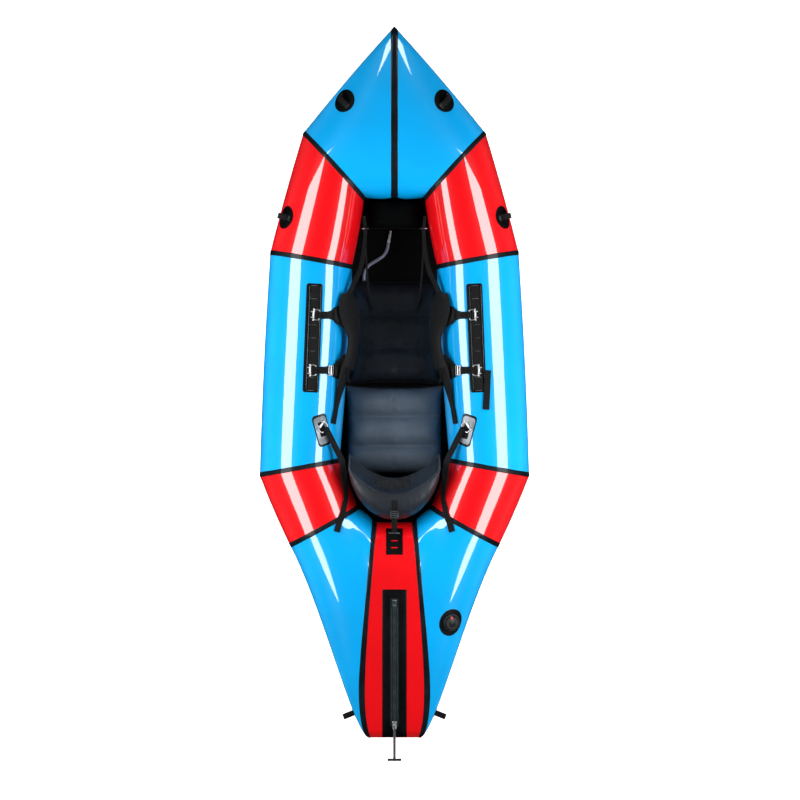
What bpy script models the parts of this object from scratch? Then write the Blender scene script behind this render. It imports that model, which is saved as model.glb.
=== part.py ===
"""A one-person inflatable packraft.

Frame: metres, +Z up, +Y towards the bow, +X to the right seen from above. The floor sheet lies on Z = 0.

The tubes are one ring of welded panels. Every panel is lofted between two seams, and a seam is a closed
outline in an upright plane. A place on the ring is counted in seams: 0 is the bow centreline, 1 the front
shoulder seam, 2 the rear one, 3 and 4 the quarter seams, 5 the deck seam and 6 the stern centreline. It is
positive on the right and negative on the left. A turn round the tube is counted from the cockpit side: 0.25
is on top and 0.5 outside. All that lies on the tubes is laid out in places and turns, so it follows them.
"""

import math
from collections import namedtuple

import bmesh
import bpy
import numpy as np
from mathutils import Matrix

# Hull
HULL_LENGTH = 2.47
HULL_WIDTH = 0.943
TUBE_DIAMETER = 0.285
BOW_DEPTH = 0.581
BOW_TOP_HEIGHT = 0.365
BOW_TIP_RADIUS = 0.022
BOW_KEEL_BELLY = 0.022
STERN_DEPTH = 0.752
STERN_TOP_HEIGHT = 0.205
STERN_END_RADIUS = 0.030
DECK_FRONT_WIDTH = 0.140
DECK_SPREAD = 0.061
DECK_TAPER = 0.040
SKIN_THICKNESS = 0.0006
SEAM_GAP = 0.0014
CLEARANCE = 0.0003

# Where the outer end of each seam lies: shares of half the hull's width, and of its length from the bow
SEAM_PLACE_SHARES = ((0, 0), (0.676, 0.1445), (0.921, 0.313), (1, 0.630), (0.78, 0.727), (0, 1), (0, 1))
SEAM_BEARINGS_DEG = (90, 46.8, 9.7, -10, -27.9, -90, -90)
HALF_WIDTH_SHARE = 1.6544
SEAM_REACH_SHARES = (None, 1.094, 1.021, 0.994, 0.958, None, None)
SEAM_RADIUS_SHARES = (0.52, 0.51, 0.5, 0.5, 0.5, 0.49, 0.49)
PANEL_SWELL_SHARES = (0.025, 0.02, 0.03, 0.02, 0.02, 0)
PANEL_ROWS = (4, 3, 4, 3, 6, 1)
STERN_CORNER_SHARES = (0.144, 0.757)
STERN_WAIST_SHARE = 0.121
DECK_TAPER_POWER = 8
AROUND = 24

# Seam tapes
TAPE_WIDTH = 0.017
BOW_TAPE_WIDTH = 0.024
DECK_TAPE_WIDTH = 0.021
TAPE_THICKNESS = 0.0009
TAPE_LIFTS = (0.0012, 0.0012, 0.0004, 0.0004, 0.0011, 0.0012)
ROUND_TAPE_SHARES = (-0.195, 0.712)
LONG_TAPE_SHARES = (-0.13, 0.79)
DECK_TAPE_SHARES = (-0.10, 0.79)

# Floor sheet
FLOOR_THICKNESS = 0.0012
FLOOR_LAP = 0.015
FLOOR_STEPS = 24

# Webbing and patches
WEBBING_WIDTH = 0.025
WEBBING_THICKNESS = 0.0016
PATCH_THICKNESS = 0.0012
PATCH_LIFT = 0.0006
STITCH_SINK = 0.0006

# Grab loops: a round patch with an arch of webbing
LOOP_PATCH_RADIUS = 0.041
LOOP_WEBBING_WIDTH = 0.020
LOOP_SPAN = 0.042
LOOP_RISE = 0.025
LOOP_FOOT = 0.012
BOW_LOOP_PLACE_SHARES = (0.370, 0.102)
SHOULDER_LOOP_PLACE_SHARES = (0.806, 0.265)
STERN_LOOP_RISE = 0.036
STERN_LOOP_SPAN = 0.022
STERN_LOOP_FOOT = 0.010
STERN_LOOP_SEAT = 0.0042
STERN_LOOP_PLACE_SHARES = (0.315, 0.966)

# Long strap patches, and the buckles on them
STRAP_PATCH_LENGTH = 0.378
STRAP_PATCH_WIDTH = 0.056
STRAP_PATCH_PLACE_SHARES = (0.601, 0.4355)
STRAP_PATCH_TOE_DEG = -1.0
FRONT_BUCKLE_PLACE_SHARES = (0.574, 0.4030)
REAR_BUCKLE_PLACE_SHARES = (0.600, 0.4810)

# Rear patches
REAR_PATCH_LENGTH = 0.112
REAR_PATCH_WIDTH = 0.056
REAR_PATCH_PLACE_SHARES = (0.531, 0.5652)
REAR_PATCH_TOE_DEG = 20
HOOK_PLACE_SHARES = (0.531, 0.5610)
HOOK_TOE_DEG = 45

# Buckles: a rectangular ring with its hook bar
BUCKLE_LENGTH = 0.022
BUCKLE_WIDTH = 0.036
BUCKLE_ROD_RADIUS = 0.0018
BUCKLE_CORNER_RADIUS = 0.007
BUCKLE_BAR_OVERHANG = 0.004
BUCKLE_LIFT = 0.0001
HOOK_BALL_RADIUS = 0.0032
BAR_REACH_SHARES = (-2, 1)
HOOK_REACH_SHARES = (-2, 1, 6)

# Front rings round the front straps
RING_WIDTH = 0.034
RING_PLAY = 0.0004
RING_ROD_RADIUS = 0.0016
RING_SHARE = 0.16

# Thigh straps: pad, front strap, side straps and rear strap
THIGH_PAD_THICKNESS = 0.006
FRONT_STRAP_WIDTH = 0.022
PAD_WIDTH = 0.100
PAD_ROUTE_SHARES = (
    (0.350, 0.372, 0.830, 36, 0.55),
    (0.338, 0.392, 0.835, 38, 0.95),
    (0.322, 0.412, 0.820, 38, 0.88),
    (0.305, 0.434, 0.805, 36, 0.66),
    (0.315, 0.456, 0.815, 36, 0.56),
    (0.345, 0.478, 0.840, 36, 0.50),
)
FRONT_ROUTE_SHARES = (
    (0.226, 0.262, 0.54, 60),
    (0.218, 0.290, 0.52, 55),
    (0.246, 0.333, 0.62, 45),
    (0.300, 0.358, 0.76, 40),
    (0.345, 0.378, 0.83, 36),
)
REAR_ROUTE_SHARES = (
    (0.345, 0.474, 0.84, 36),
    (0.388, 0.500, 0.83, 44),
    (0.432, 0.530, 0, 0),
    (0.456, 0.556, 0, 0),
)
STRAP_LIFT = 0.0052
SIDE_STRAP_IN_SHARE = 0.435

# Back straps: from the hook past the corner of the backrest, with the loose tail on the quarter tube
BACK_STRAP_WIDTH = 0.022
BACK_STRAP_ROUTE_SHARES = (
    (0.425, 0.5930, 0.885, 20),
    (0.385, 0.6100, 0.870, 20),
    (0.368, 0.6350, 0.840, 30),
    (0.365, 0.6600, 0, 0),
    (0.388, 0.6850, 0, 0),
    (0.427, 0.7080, 0, 0),
)

# Seat, leg pad, foot brace and backrest
SEAT_LENGTH = 0.324
SEAT_WIDTH = 0.352
SEAT_HEIGHT = 0.088
SEAT_CHANNELS = 3
SEAT_CENTRE_SHARE = 0.5665
LEG_PAD_LENGTH = 0.372
LEG_PAD_WIDTH = 0.330
LEG_PAD_HEIGHT = 0.046
LEG_PAD_CHANNELS = 3
CHANNEL_DEPTH_SHARE = 0.42
CUSHION_DRAW_SHARE = 0.05
BRACE_LENGTH = 0.098
BRACE_WIDTH = 0.200
BRACE_HEIGHT = 0.150
BRACE_CENTRE_SHARE = 0.2592
BACKREST_WIDTH = 0.320
BACKREST_HEIGHT = 0.205
BACKREST_SWEEP = 0.089
BACKREST_FRONT_BULGE = 0.018
BACKREST_REAR_BULGE = 0.108
BACKREST_BASE_HEIGHT = 0.095
BACKREST_LEAN_DEG = 14
BACKREST_STERN_GAP = 0.09768
BACKREST_WING_RISE_SHARE = 0.22
BACKREST_GRID = (12, 8)
BACKREST_STRAP_ROW = 6

# Backrest strap, its bar and the ladder patch behind it
REAR_STRAP_WIDTH = 0.020
BAR_LENGTH = 0.039
BAR_RADIUS = 0.0022
LADDER_LENGTH = 0.112
LADDER_WIDTH = 0.058
LADDER_END_SHARE = 0.8537
LADDER_BAR_SHARE = 0.266
LADDER_SLOT_LENGTH = 0.023
LADDER_SLOT_WIDTH = 0.005
LADDER_SLOT_SHARES = (0.535, 0.775)

# Zip: patch, chain with its dock, slider and pull
ZIP_PATCH_WIDTH = 0.085
ZIP_PATCH_START_SHARE = 0.7890
ZIP_PATCH_END_TURN_SHARE = 0.492
ZIP_TAPE_WIDTH = 0.030
ZIP_TAPE_THICKNESS = 0.0010
ZIP_RAIL_WIDTH = 0.0075
ZIP_RAIL_HEIGHT = 0.0032
ZIP_GROOVE_WIDTH = 0.0012
ZIP_START_SHARE = 0.8020
ZIP_END_SHARE = 0.9850
DOCK_LENGTH = 0.030
DOCK_WIDTH = 0.016
DOCK_HEIGHT = 0.006
SLIDER_LENGTH = 0.024
SLIDER_WIDTH = 0.015
SLIDER_HEIGHT = 0.0085
SLIDER_INSET = 0.006
EAR_THICKNESS = 0.002
EAR_SPREAD = 0.0055
PIN_RADIUS = 0.0014
EYE_RADIUS = 0.0032
EYE_RISE = 0.0042
PULL_LENGTH = 0.122
PULL_WIDTH = 0.009
PULL_THICKNESS = 0.0035
TOGGLE_LENGTH = 0.049
TOGGLE_RADIUS = 0.0045
RUNNING_GAP = 0.0004

# Valve
VALVE_PLACE_SHARES = (0.417, 0.8357)
VALVE_PATCH_RADIUS = 0.0485
VALVE_BODY_RADIUS = 0.030
VALVE_BODY_HEIGHT = 0.010
VALVE_RIM_WIDTH = 0.004
CAP_RADIUS = 0.0245
CAP_HEIGHT = 0.012
CAP_GRIP_COUNT = 12
CAP_GRIP_DEPTH = 0.0016
CAP_TAB_LENGTH = 0.012
CAP_TAB_WIDTH = 0.007
CAP_TAB_THICKNESS = 0.002
CAP_SEAT_GAP = 0.0005

# Inflation hose on the floor, from the leg pad to its mouthpiece at the foot brace. The bend rows give a
# share of its length and how many degrees it heads to the right of the bow there
HOSE_DIAMETER = 0.012
HOSE_STEP = 0.026
HOSE_REST_GAP = 0.0006
HOSE_TUCK = 0.0044
HOSE_START_SHARE = -0.229
HOSE_END_SHARE = -0.045
HOSE_BEND_SHARES = ((0, 0), (0.11, 0), (0.43, 57), (0.63, 57), (0.89, 10), (1, 10))
MOUTHPIECE_LENGTH = 0.042
MOUTHPIECE_TIP_RADIUS = 0.004
MOUTHPIECE_COLLAR_LENGTH = 0.008

# Fineness of the round forms
ARC_STEPS = 64
STRAP_STEPS = 3
SMALL_SIDES = 8
RING_CORNER_STEPS = 2
DISC_SIDES = 24
NUDGE = 0.002
TINY = 1e-12

SMOOTH_ANGLE_DEG = 35
BASE = FLOOR_THICKNESS + CLEARANCE
HALF_WIDTH = HULL_WIDTH / 2
PULL_OVERHANG = PULL_LENGTH + TOGGLE_RADIUS - SLIDER_INSET - STERN_END_RADIUS - SLIDER_LENGTH / 2
BOW_Y = (HULL_LENGTH + PULL_OVERHANG) / 2

Seam = namedtuple("Seam", "x y bearing reach inner_radius outer_radius outer_rise deck")


def make_seams():
    """The seven seams from the bow centreline to the stern centreline, from the sizes above."""
    seams = []
    for index, (x_share, y_share) in enumerate(SEAM_PLACE_SHARES):
        radius = SEAM_RADIUS_SHARES[index] * TUBE_DIAMETER
        middle = BASE + radius
        outer_radius, outer_rise, deck = radius, middle, 0
        if index == 0:
            reach, outer_radius = BOW_DEPTH, BOW_TIP_RADIUS
            outer_rise = BOW_TOP_HEIGHT - BOW_TIP_RADIUS
        elif index >= 5:
            reach, outer_radius = STERN_DEPTH, STERN_END_RADIUS
            outer_rise = STERN_TOP_HEIGHT - STERN_END_RADIUS
            deck = 6 - index
        else:
            reach = SEAM_REACH_SHARES[index] * TUBE_DIAMETER
        bearing = math.radians(SEAM_BEARINGS_DEG[index])
        x, y = x_share * HALF_WIDTH, BOW_Y - y_share * HULL_LENGTH
        seams.append(Seam(x, y, bearing, reach, radius, outer_radius, outer_rise, deck))
    return seams


SEAMS = make_seams()


def seam_tangents(seam):
    """Distance between the seam's two end discs, and the angles of the tangents over and under them."""
    long = seam.outer_radius != seam.inner_radius
    apart = seam.reach - seam.inner_radius - seam.outer_radius if long else 0
    rise = seam.outer_rise - BASE - seam.inner_radius
    lean = math.atan2(rise, apart)
    spread = math.acos((seam.inner_radius - seam.outer_radius) / (math.hypot(apart, rise) + TINY))
    return apart, lean + spread, lean - spread


def disc_arc(along, height, radius, start, end):
    angles = np.linspace(start, end, ARC_STEPS)
    return np.stack((along + radius * np.cos(angles), height + radius * np.sin(angles)), -1)


def belly_run(start, end, angle, belly):
    """A straight run from start to end that swells by belly along its normal, smoothly at both ends."""
    share = np.linspace(0, 1, ARC_STEPS)[1:-1, None]
    swell = belly * np.sin(math.pi * share) ** 2
    return start + (end - start) * share + swell * np.array((math.cos(angle), math.sin(angle)))


def by_length(points, shares):
    steps = np.hypot(*np.diff(points, axis=0).T)
    length = np.concatenate(([0], np.cumsum(steps)))
    return np.stack([np.interp(shares * length[-1], length, values) for values in points.T], -1)


def seam_outline(seam, turns):
    """Distance along the reach and height of a seam at each turn: a band drawn round two upright discs."""
    apart, top, under = seam_tangents(seam)
    inner = (seam.inner_radius, BASE + seam.inner_radius)
    outer = (seam.inner_radius + apart, seam.outer_rise)
    belly = BOW_KEEL_BELLY if seam.bearing > math.pi / 3 else 0
    over_inner = disc_arc(*inner, seam.inner_radius, math.pi, top)
    over_outer = disc_arc(*outer, seam.outer_radius, top, 0)
    under_outer = disc_arc(*outer, seam.outer_radius, 0, under)
    under_inner = disc_arc(*inner, seam.inner_radius, under, -math.pi)
    keel = belly_run(under_outer[-1], under_inner[0], under, belly)
    upper = np.concatenate((over_inner, over_outer))
    lower = np.concatenate((under_outer, keel, under_inner))
    turns = np.mod(turns, 1)
    above = by_length(upper, np.clip(2 * turns, 0, 1))
    below = by_length(lower, np.clip(2 * turns - 1, 0, 1))
    points = np.where((turns < 0.5)[..., None], above, below)
    stretch = seam.reach / (seam.inner_radius + apart + seam.outer_radius)
    return points[..., 0] * stretch, points[..., 1]


def deck_half_width(share):
    """Half the deck panel's width at a share of the stern's depth, from the cockpit side."""
    return DECK_FRONT_WIDTH / 2 + DECK_SPREAD * share - DECK_TAPER * share**DECK_TAPER_POWER


def seam_points(seam, turns):
    along, height = seam_outline(seam, turns)
    back = seam.reach - along
    x = seam.x - back * math.cos(seam.bearing) + seam.deck * deck_half_width(along / seam.reach)
    y = seam.y - back * math.sin(seam.bearing)
    return np.stack((x, y, height), -1)


def hull(place, turn):
    """Points of the inflated hull at places along the ring and turns round the tube."""
    place, turn = np.broadcast_arrays(np.asarray(place, float), np.asarray(turn, float))
    side = np.where(place < 0, -1.0, 1.0)
    along = np.abs(place)
    over = along > 6
    along = np.where(over, 12 - along, along)
    side = np.where(over, -side, side)
    first = np.clip(along.astype(int), 0, 5)
    share = along - first
    outlines = np.stack([seam_points(seam, turn) for seam in SEAMS])
    start = np.take_along_axis(outlines, first[None, ..., None], 0)[0]
    end = np.take_along_axis(outlines, first[None, ..., None] + 1, 0)[0]
    mix = share[..., None]
    points = (1 - mix) * start + mix * end
    middles = np.array([(seam_points(seam, np.array((0.0, 0.5)))).mean(0) for seam in SEAMS])
    middle = (1 - mix) * middles[first] + mix * middles[first + 1]
    swell = np.array(PANEL_SWELL_SHARES)[first][..., None] * 4 * mix * (1 - mix)
    away = (points - middle) * swell
    away[..., 2] = np.maximum(away[..., 2], 0)
    points = points + away
    stern = (first == 4) * np.sin(math.pi * turn) ** 4
    ease_in = share**3 - 2 * share**2 + share
    ease_out = share**3 - share**2
    tuck, fullness = (value * STERN_DEPTH for value in STERN_CORNER_SHARES)
    points[..., 0] += stern * (tuck * ease_out - STERN_WAIST_SHARE * STERN_DEPTH * ease_in)
    points[..., 1] += stern * fullness * ease_out
    points[..., 0] *= side
    return points


def unit(vectors):
    return vectors / np.linalg.norm(vectors, axis=-1, keepdims=True)


def hull_along(place, turn):
    """The hull's direction towards higher places, per unit of place."""
    place = np.asarray(place, float)
    return (hull(place + NUDGE, turn) - hull(place - NUDGE, turn)) / (2 * NUDGE)


def hull_across(place, turn):
    """The hull's direction round the tube, per whole turn."""
    turn = np.asarray(turn, float)
    return (hull(place, turn + NUDGE) - hull(place, turn - NUDGE)) / (2 * NUDGE)


def hull_normal(place, turn):
    return unit(np.cross(hull_along(place, turn), hull_across(place, turn)))


def row_bounds(place):
    """The rows of facets before and after each place, and how far between them it lies."""
    inside = np.where(place > 6, 12 - place, place)
    rows = np.array(PANEL_ROWS)[np.clip(inside.astype(int), 0, 5)]
    before = np.floor(place * rows + TINY) / rows
    return before, before + 1 / rows, (place - before) * rows


def skin(place, turn, lift=0.0):
    """Points on the hull's flat facets, raised by lift along its normal."""
    place, turn = np.broadcast_arrays(np.asarray(place, float), np.asarray(turn, float))
    before, after, row_share = row_bounds(np.abs(place))
    column = np.floor(turn * AROUND + TINY)
    first, last = column / AROUND, (column + 1) / AROUND
    column_share = (turn * AROUND - column)[..., None]
    row_share = row_share[..., None]
    near_first, near_last = hull(before, first), hull(before, last)
    far_first, far_last = hull(after, first), hull(after, last)
    below = near_first + row_share * (far_first - near_first) + column_share * (far_last - far_first)
    above = near_first + column_share * (near_last - near_first) + row_share * (far_last - near_last)
    flat = np.where(row_share >= column_share, below, above)
    flat[..., 0] *= np.where(place < 0, -1, 1)
    return flat + np.asarray(lift, float)[..., None] * hull_normal(place, turn)


def plan(x_share, y_share):
    """A point seen from above, from shares of half the hull's width and of its length from the bow."""
    return np.array((x_share * HALF_WIDTH, BOW_Y - y_share * HULL_LENGTH))


def side_plan(x_share, y_share):
    """As plan, for fittings of the side tubes, which keep their distance from the hull's edge in tubes."""
    places = np.array(SEAM_PLACE_SHARES)
    edge_share = np.interp(y_share, places[:-1, 1], places[:-1, 0])
    inset = (edge_share - x_share) * HALF_WIDTH_SHARE * TUBE_DIAMETER
    return np.array((HALF_WIDTH * edge_share - inset, plan(x_share, y_share)[1]))


def find(x_share, y_share, first=0.0, last=6.0):
    """Place and turn of the point on top of the right tube that lies at these shares, seen from above."""
    return seek(plan(x_share, y_share), first, last)


def find_side(x_share, y_share, last=3.0):
    """As find, for fittings of the side tubes."""
    return seek(side_plan(x_share, y_share), 2.0, last)


def seek(target, first, last):
    """Place and turn on top of the right tube, between two seams, nearest to a point seen from above."""
    low, high = np.array((first, 0.0)), np.array((last, 0.5))
    best = (low + high) / 2
    for _ in range(7):
        places = np.linspace(low[0], high[0], 25)[:, None]
        turns = np.linspace(low[1], high[1], 25)[None, :]
        miss = np.linalg.norm(hull(places, turns)[..., :2] - target, axis=-1)
        row, column = np.unravel_index(miss.argmin(), miss.shape)
        best = np.array((places[row, 0], turns[0, column]))
        reach = (high - low) / 6
        low = np.maximum(best - reach, (first, 0))
        high = np.minimum(best + reach, (last, 0.5))
    return best


def make_material(name, colour, roughness, metallic=0.0):
    material = bpy.data.materials.new(name)
    material.use_nodes = True
    shader = material.node_tree.nodes["Principled BSDF"]
    shader.inputs["Base Color"].default_value = (*colour, 1)
    shader.inputs["Roughness"].default_value = roughness
    shader.inputs["Metallic"].default_value = metallic
    material.diffuse_color = (*colour, 1)
    return material


def add_object(name, mesh, material):
    mesh.shade_smooth()
    mesh.set_sharp_from_angle(angle=math.radians(SMOOTH_ANGLE_DEG))
    thing = bpy.data.objects.new(name, mesh)
    thing.data.materials.append(material)
    bpy.context.scene.collection.objects.link(thing)
    return thing


def add_solid(name, bm, material):
    """An object from built faces, all of them pointing outwards."""
    bmesh.ops.recalc_face_normals(bm, faces=bm.faces)
    if bm.calc_volume(signed=True) < 0:
        bmesh.ops.reverse_faces(bm, faces=bm.faces)
    mesh = bpy.data.meshes.new(name)
    bm.to_mesh(mesh)
    bm.free()
    return add_object(name, mesh, material)


def loft(name, rings, material, closed=False):
    """A solid through rings of points with equal counts, capped at both ends or closed into a loop."""
    bm = bmesh.new()
    loops = [[bm.verts.new(point) for point in ring] for ring in rings]
    pairs = list(zip(loops, loops[1:]))
    if closed:
        pairs.append((loops[-1], loops[0]))
    for one, two in pairs:
        count = len(one)
        for index in range(count):
            after = (index + 1) % count
            bm.faces.new((one[index], one[after], two[after], two[index]))
    if not closed:
        bm.faces.new(loops[0])
        bm.faces.new(loops[-1])
    return add_solid(name, bm, material)


def combine(target, tool, operation):
    """Joins a helper solid to the target, or cuts it out, and removes the helper."""
    modifier = target.modifiers.new(operation.lower(), "BOOLEAN")
    modifier.operation = operation
    modifier.object = tool
    graph = bpy.context.evaluated_depsgraph_get()
    mesh = bpy.data.meshes.new_from_object(target.evaluated_get(graph))
    old = target.data
    target.modifiers.clear()
    target.data = mesh
    bpy.data.meshes.remove(old)
    bpy.data.objects.remove(tool)
    return target


def box(name, frame, low, high, material):
    """A box between two corners given in a frame of its own."""
    bm = bmesh.new()
    bmesh.ops.create_cube(bm, size=1)
    low, high = np.array(low), np.array(high)
    for vert in bm.verts:
        share = np.array(vert.co) + 0.5
        vert.co = frame @ Matrix.Translation(low + share * (high - low)).translation
    return add_solid(name, bm, material)


def frame_at(origin, x_axis, z_axis):
    """A frame with its Z along z_axis and its X as near x_axis as it can lie."""
    z_axis = unit(np.asarray(z_axis, float))
    y_axis = unit(np.cross(z_axis, x_axis))
    x_axis = np.cross(y_axis, z_axis)
    frame = Matrix.Identity(4)
    for row in range(3):
        frame[row][0], frame[row][1] = x_axis[row], y_axis[row]
        frame[row][2], frame[row][3] = z_axis[row], origin[row]
    return frame


def hull_panel(name, side, start, end, material):
    """One welded panel: the loft between two seams, open at both ends, with the thickness of the skin."""
    rows = PANEL_ROWS[start] * (end - start)
    turns = np.arange(AROUND) / AROUND
    places = np.linspace(start, end, rows + 1)[:, None] + 0 * turns
    for row, step in ((0, NUDGE), (-1, -NUDGE)):
        length = np.linalg.norm(hull(places[row] + step, turns) - hull(places[row], turns), axis=-1) / step
        places[row] += SEAM_GAP / 2 / length
    points = hull(places, turns) * (side, 1, 1)
    bm = bmesh.new()
    grid = [[bm.verts.new(point) for point in row] for row in points]
    for one, two in zip(grid, grid[1:]):
        for column in range(AROUND):
            after = (column + 1) % AROUND
            bm.faces.new((one[column], two[column], two[after]))
            bm.faces.new((one[column], two[after], one[after]))
    if side < 0:
        bmesh.ops.reverse_faces(bm, faces=bm.faces)
    mesh = bpy.data.meshes.new(name)
    bm.to_mesh(mesh)
    bm.free()
    panel = add_object(name, mesh, material)
    solidify = panel.modifiers.new("skin", "SOLIDIFY")
    solidify.thickness = SKIN_THICKNESS
    solidify.offset = -1
    return panel


def seam_tape(name, side, place, width, turn_shares, material):
    """A tape over a seam, from under the outside of the tube over its top and down inside the cockpit."""
    start, end = turn_shares
    steps = np.arange(math.ceil(start * AROUND), math.floor(end * AROUND) + 1) / AROUND
    turns = np.concatenate(([start], steps, [end]))
    columns = []
    for edge in (-1, 0, 1):
        length = np.linalg.norm(hull(place + edge * NUDGE, turns) - hull(place, turns), axis=-1) / NUDGE
        columns.append(place + edge * width / 2 / np.maximum(length, TINY))
    rings = []
    normals = hull_normal(place, turns) * (side, 1, 1)
    points = [skin(column, turns) * (side, 1, 1) for column in columns]
    low = TAPE_LIFTS[place]
    high = low + TAPE_THICKNESS
    for index in range(len(turns)):
        under = [column[index] + low * normals[index] for column in points]
        over = [column[index] + high * normals[index] for column in points]
        rings.append(under + over[::-1])
    return loft(name, rings, material)


def whole_numbers(values):
    """The whole numbers between the least and the greatest of the values."""
    return np.arange(math.ceil(values.min()), math.floor(values.max()) + 1)


def drape(name, outline, to_hull, rows, thickness, material):
    """A sheet laid on the hull's facets, from an outline in flat coordinates that to_hull turns to places.

    It is cut along the facets' edges: round the tube, and with rows also along it and from corner to corner.
    """
    outline = np.asarray(outline)
    bm = bmesh.new()
    bm.faces.new([bm.verts.new((a, b, 0)) for a, b in outline])
    across, ahead = outline[:, 1] * AROUND, outline[:, 0] * rows
    cuts = [((0, line / AROUND, 0), (0, 1, 0)) for line in whole_numbers(across)]
    if rows:
        cuts += [((line / rows, 0, 0), (1, 0, 0)) for line in whole_numbers(ahead)]
        side = math.copysign(1, outline[0, 0])
        lines = whole_numbers(across - side * ahead)
        cuts += [((0, line / AROUND, 0), (-side * rows, AROUND, 0)) for line in lines]
    for point, normal in cuts:
        geometry = bm.verts[:] + bm.edges[:] + bm.faces[:]
        bmesh.ops.bisect_plane(bm, geom=geometry, dist=1e-9, plane_co=point, plane_no=normal)
    bmesh.ops.triangulate(bm, faces=bm.faces[:])
    grown = bmesh.ops.extrude_face_region(bm, geom=bm.faces[:])["geom"]
    upper = {item for item in grown if isinstance(item, bmesh.types.BMVert)}
    flat = np.array([vert.co[:2] for vert in bm.verts])
    lift = np.array([PATCH_LIFT + (thickness if vert in upper else 0) for vert in bm.verts])
    for vert, point in zip(bm.verts, skin(*to_hull(flat[:, 0], flat[:, 1]), lift)):
        vert.co = point
    return add_solid(name, bm, material)


def local_steps(place, turn, toe_deg=0.0):
    """Steps in place and turn for one metre along and one metre across, seen along the hull's normal."""
    along, across = hull_along(place, turn), hull_across(place, turn)
    normal = unit(np.cross(along, across))
    ahead = unit(along)
    aside = np.cross(normal, ahead)
    toe = math.radians(toe_deg)
    one = math.cos(toe) * ahead + math.sin(toe) * aside
    two = math.cos(toe) * aside - math.sin(toe) * ahead
    return np.linalg.lstsq(np.stack((along, across), -1), np.stack((one, two), -1), rcond=None)[0]


def settle(place, turn, corners, toe_deg=0.0):
    """Places and turns of points so many metres along and across from a middle, seen along its normal."""
    steps = local_steps(place, turn, toe_deg)
    flat = np.linalg.pinv(np.stack((hull_along(place, turn), hull_across(place, turn)), -1))
    sight = np.linalg.inv(steps) @ flat
    found = np.array((place, turn)) + np.asarray(corners) @ steps.T
    for _ in range(4):
        seen = (hull(found[:, 0], found[:, 1]) - hull(place, turn)) @ sight.T
        found = found + (np.asarray(corners) - seen) @ steps.T
    return found


def tube_patch(name, place, turn, corners, toe_deg, thickness, material):
    """A patch on a tube; its corners are in metres along and across from its middle."""
    outline = settle(place, turn, corners, toe_deg)
    rows = PANEL_ROWS[min(int(abs(place)), 5)]
    return drape(name, outline, lambda a, b: (a, b), rows, thickness, material)


def circle(radius, sides):
    angles = np.arange(sides) / sides * 2 * math.pi
    return np.stack((radius * np.cos(angles), radius * np.sin(angles)), -1)


def rounded_box(length, width, radius, steps=RING_CORNER_STEPS):
    """Outline of a rectangle with round corners, centred, counter-clockwise."""
    points = []
    for quarter, (sign_x, sign_y) in enumerate(((1, 1), (-1, 1), (-1, -1), (1, -1))):
        middle = np.array((sign_x * (length / 2 - radius), sign_y * (width / 2 - radius)))
        for step in range(steps + 1):
            angle = (quarter + step / steps) * math.pi / 2
            points.append(middle + radius * np.array((math.cos(angle), math.sin(angle))))
    return np.array(points)


def strap_solid(name, centres, normals, widths, thickness, material):
    """Webbing of a flat section along a line of points, its face square to the normals."""
    tangents = unit(np.gradient(centres, axis=0))
    sides = unit(np.cross(normals, tangents))
    normals = np.cross(tangents, sides)
    half = np.broadcast_to(np.asarray(widths, float), len(centres))[:, None] / 2 * sides
    lift = thickness / 2 * normals
    low, high = centres - lift, centres + lift
    rings = np.stack((low - half, low + half, high + half, high - half), 1)
    return loft(name, rings, material)


def smooth_route(stations, steps):
    """Catmull-Rom curve through rows of values."""
    rows = np.asarray(stations, float)
    padded = np.concatenate((2 * rows[:1] - rows[1:2], rows, 2 * rows[-1:] - rows[-2:-1]))
    share = (np.arange(steps) / steps)[:, None]
    pieces = []
    for index in range(1, len(padded) - 2):
        before, one, two, after = padded[index - 1 : index + 3]
        pieces.append(
            one
            + share * (two - before) / 2
            + share**2 * (before - 2.5 * one + 2 * two - after / 2)
            + share**3 * (1.5 * one - 1.5 * two + (after - before) / 2)
        )
    return np.concatenate(pieces + [rows[-1:]])


def on_tube(side, where):
    """Point and normal of webbing that lies on the tube at a place and turn."""
    place, turn = where
    return skin(side * place, turn, STRAP_LIFT), hull_normal(side * place, turn)


def strap_route(route_shares, side):
    """Stations of a strap: point, face normal and width share.

    Each is given by its place seen from above, its height as a share of the tube's, and the lean of its
    face in degrees. A height of 0 stands for webbing that lies on the tube.
    """
    stations = []
    last = None
    for x_share, y_share, height_share, lean_deg, *width in route_shares:
        x, y = side_plan(x_share, y_share)
        lean = math.radians(lean_deg)
        point = (side * x, y, height_share * TUBE_DIAMETER)
        normal = (-side * math.sin(lean), 0, math.cos(lean))
        here = None if height_share else find_side(x_share, y_share, 5.0)
        if here is not None:
            point, normal = on_tube(side, here)
        if last is not None:
            middle_point, middle_normal = on_tube(side, (last + here) / 2)
            stations.append((*middle_point, *middle_normal, *(width or (1,))))
        stations.append((*point, *normal, *(width or (1,))))
        last = here
    return stations


def arch(name, place, turn, span, rise, foot, seat, material):
    """A webbing loop: two feet on the hull, seat above it, and a half round between them off the tube."""
    steps = local_steps(place, turn)
    angles = np.linspace(math.pi, 0, 2 * SMALL_SIDES + 1)
    across = np.concatenate(([-span / 2 - foot], span / 2 * np.cos(angles), [span / 2 + foot]))
    lift = np.concatenate(([0], rise * np.sin(angles), [0])) + seat + WEBBING_THICKNESS / 2
    places = place + across * steps[0, 1]
    turns = turn + across * steps[1, 1]
    centres = skin(places, turns, lift)
    ahead = unit(hull_along(places, turns))
    tangents = unit(np.gradient(centres, axis=0))
    normals = np.cross(tangents, -ahead)
    return strap_solid(name, centres, normals, LOOP_WEBBING_WIDTH, WEBBING_THICKNESS, material)


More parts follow.
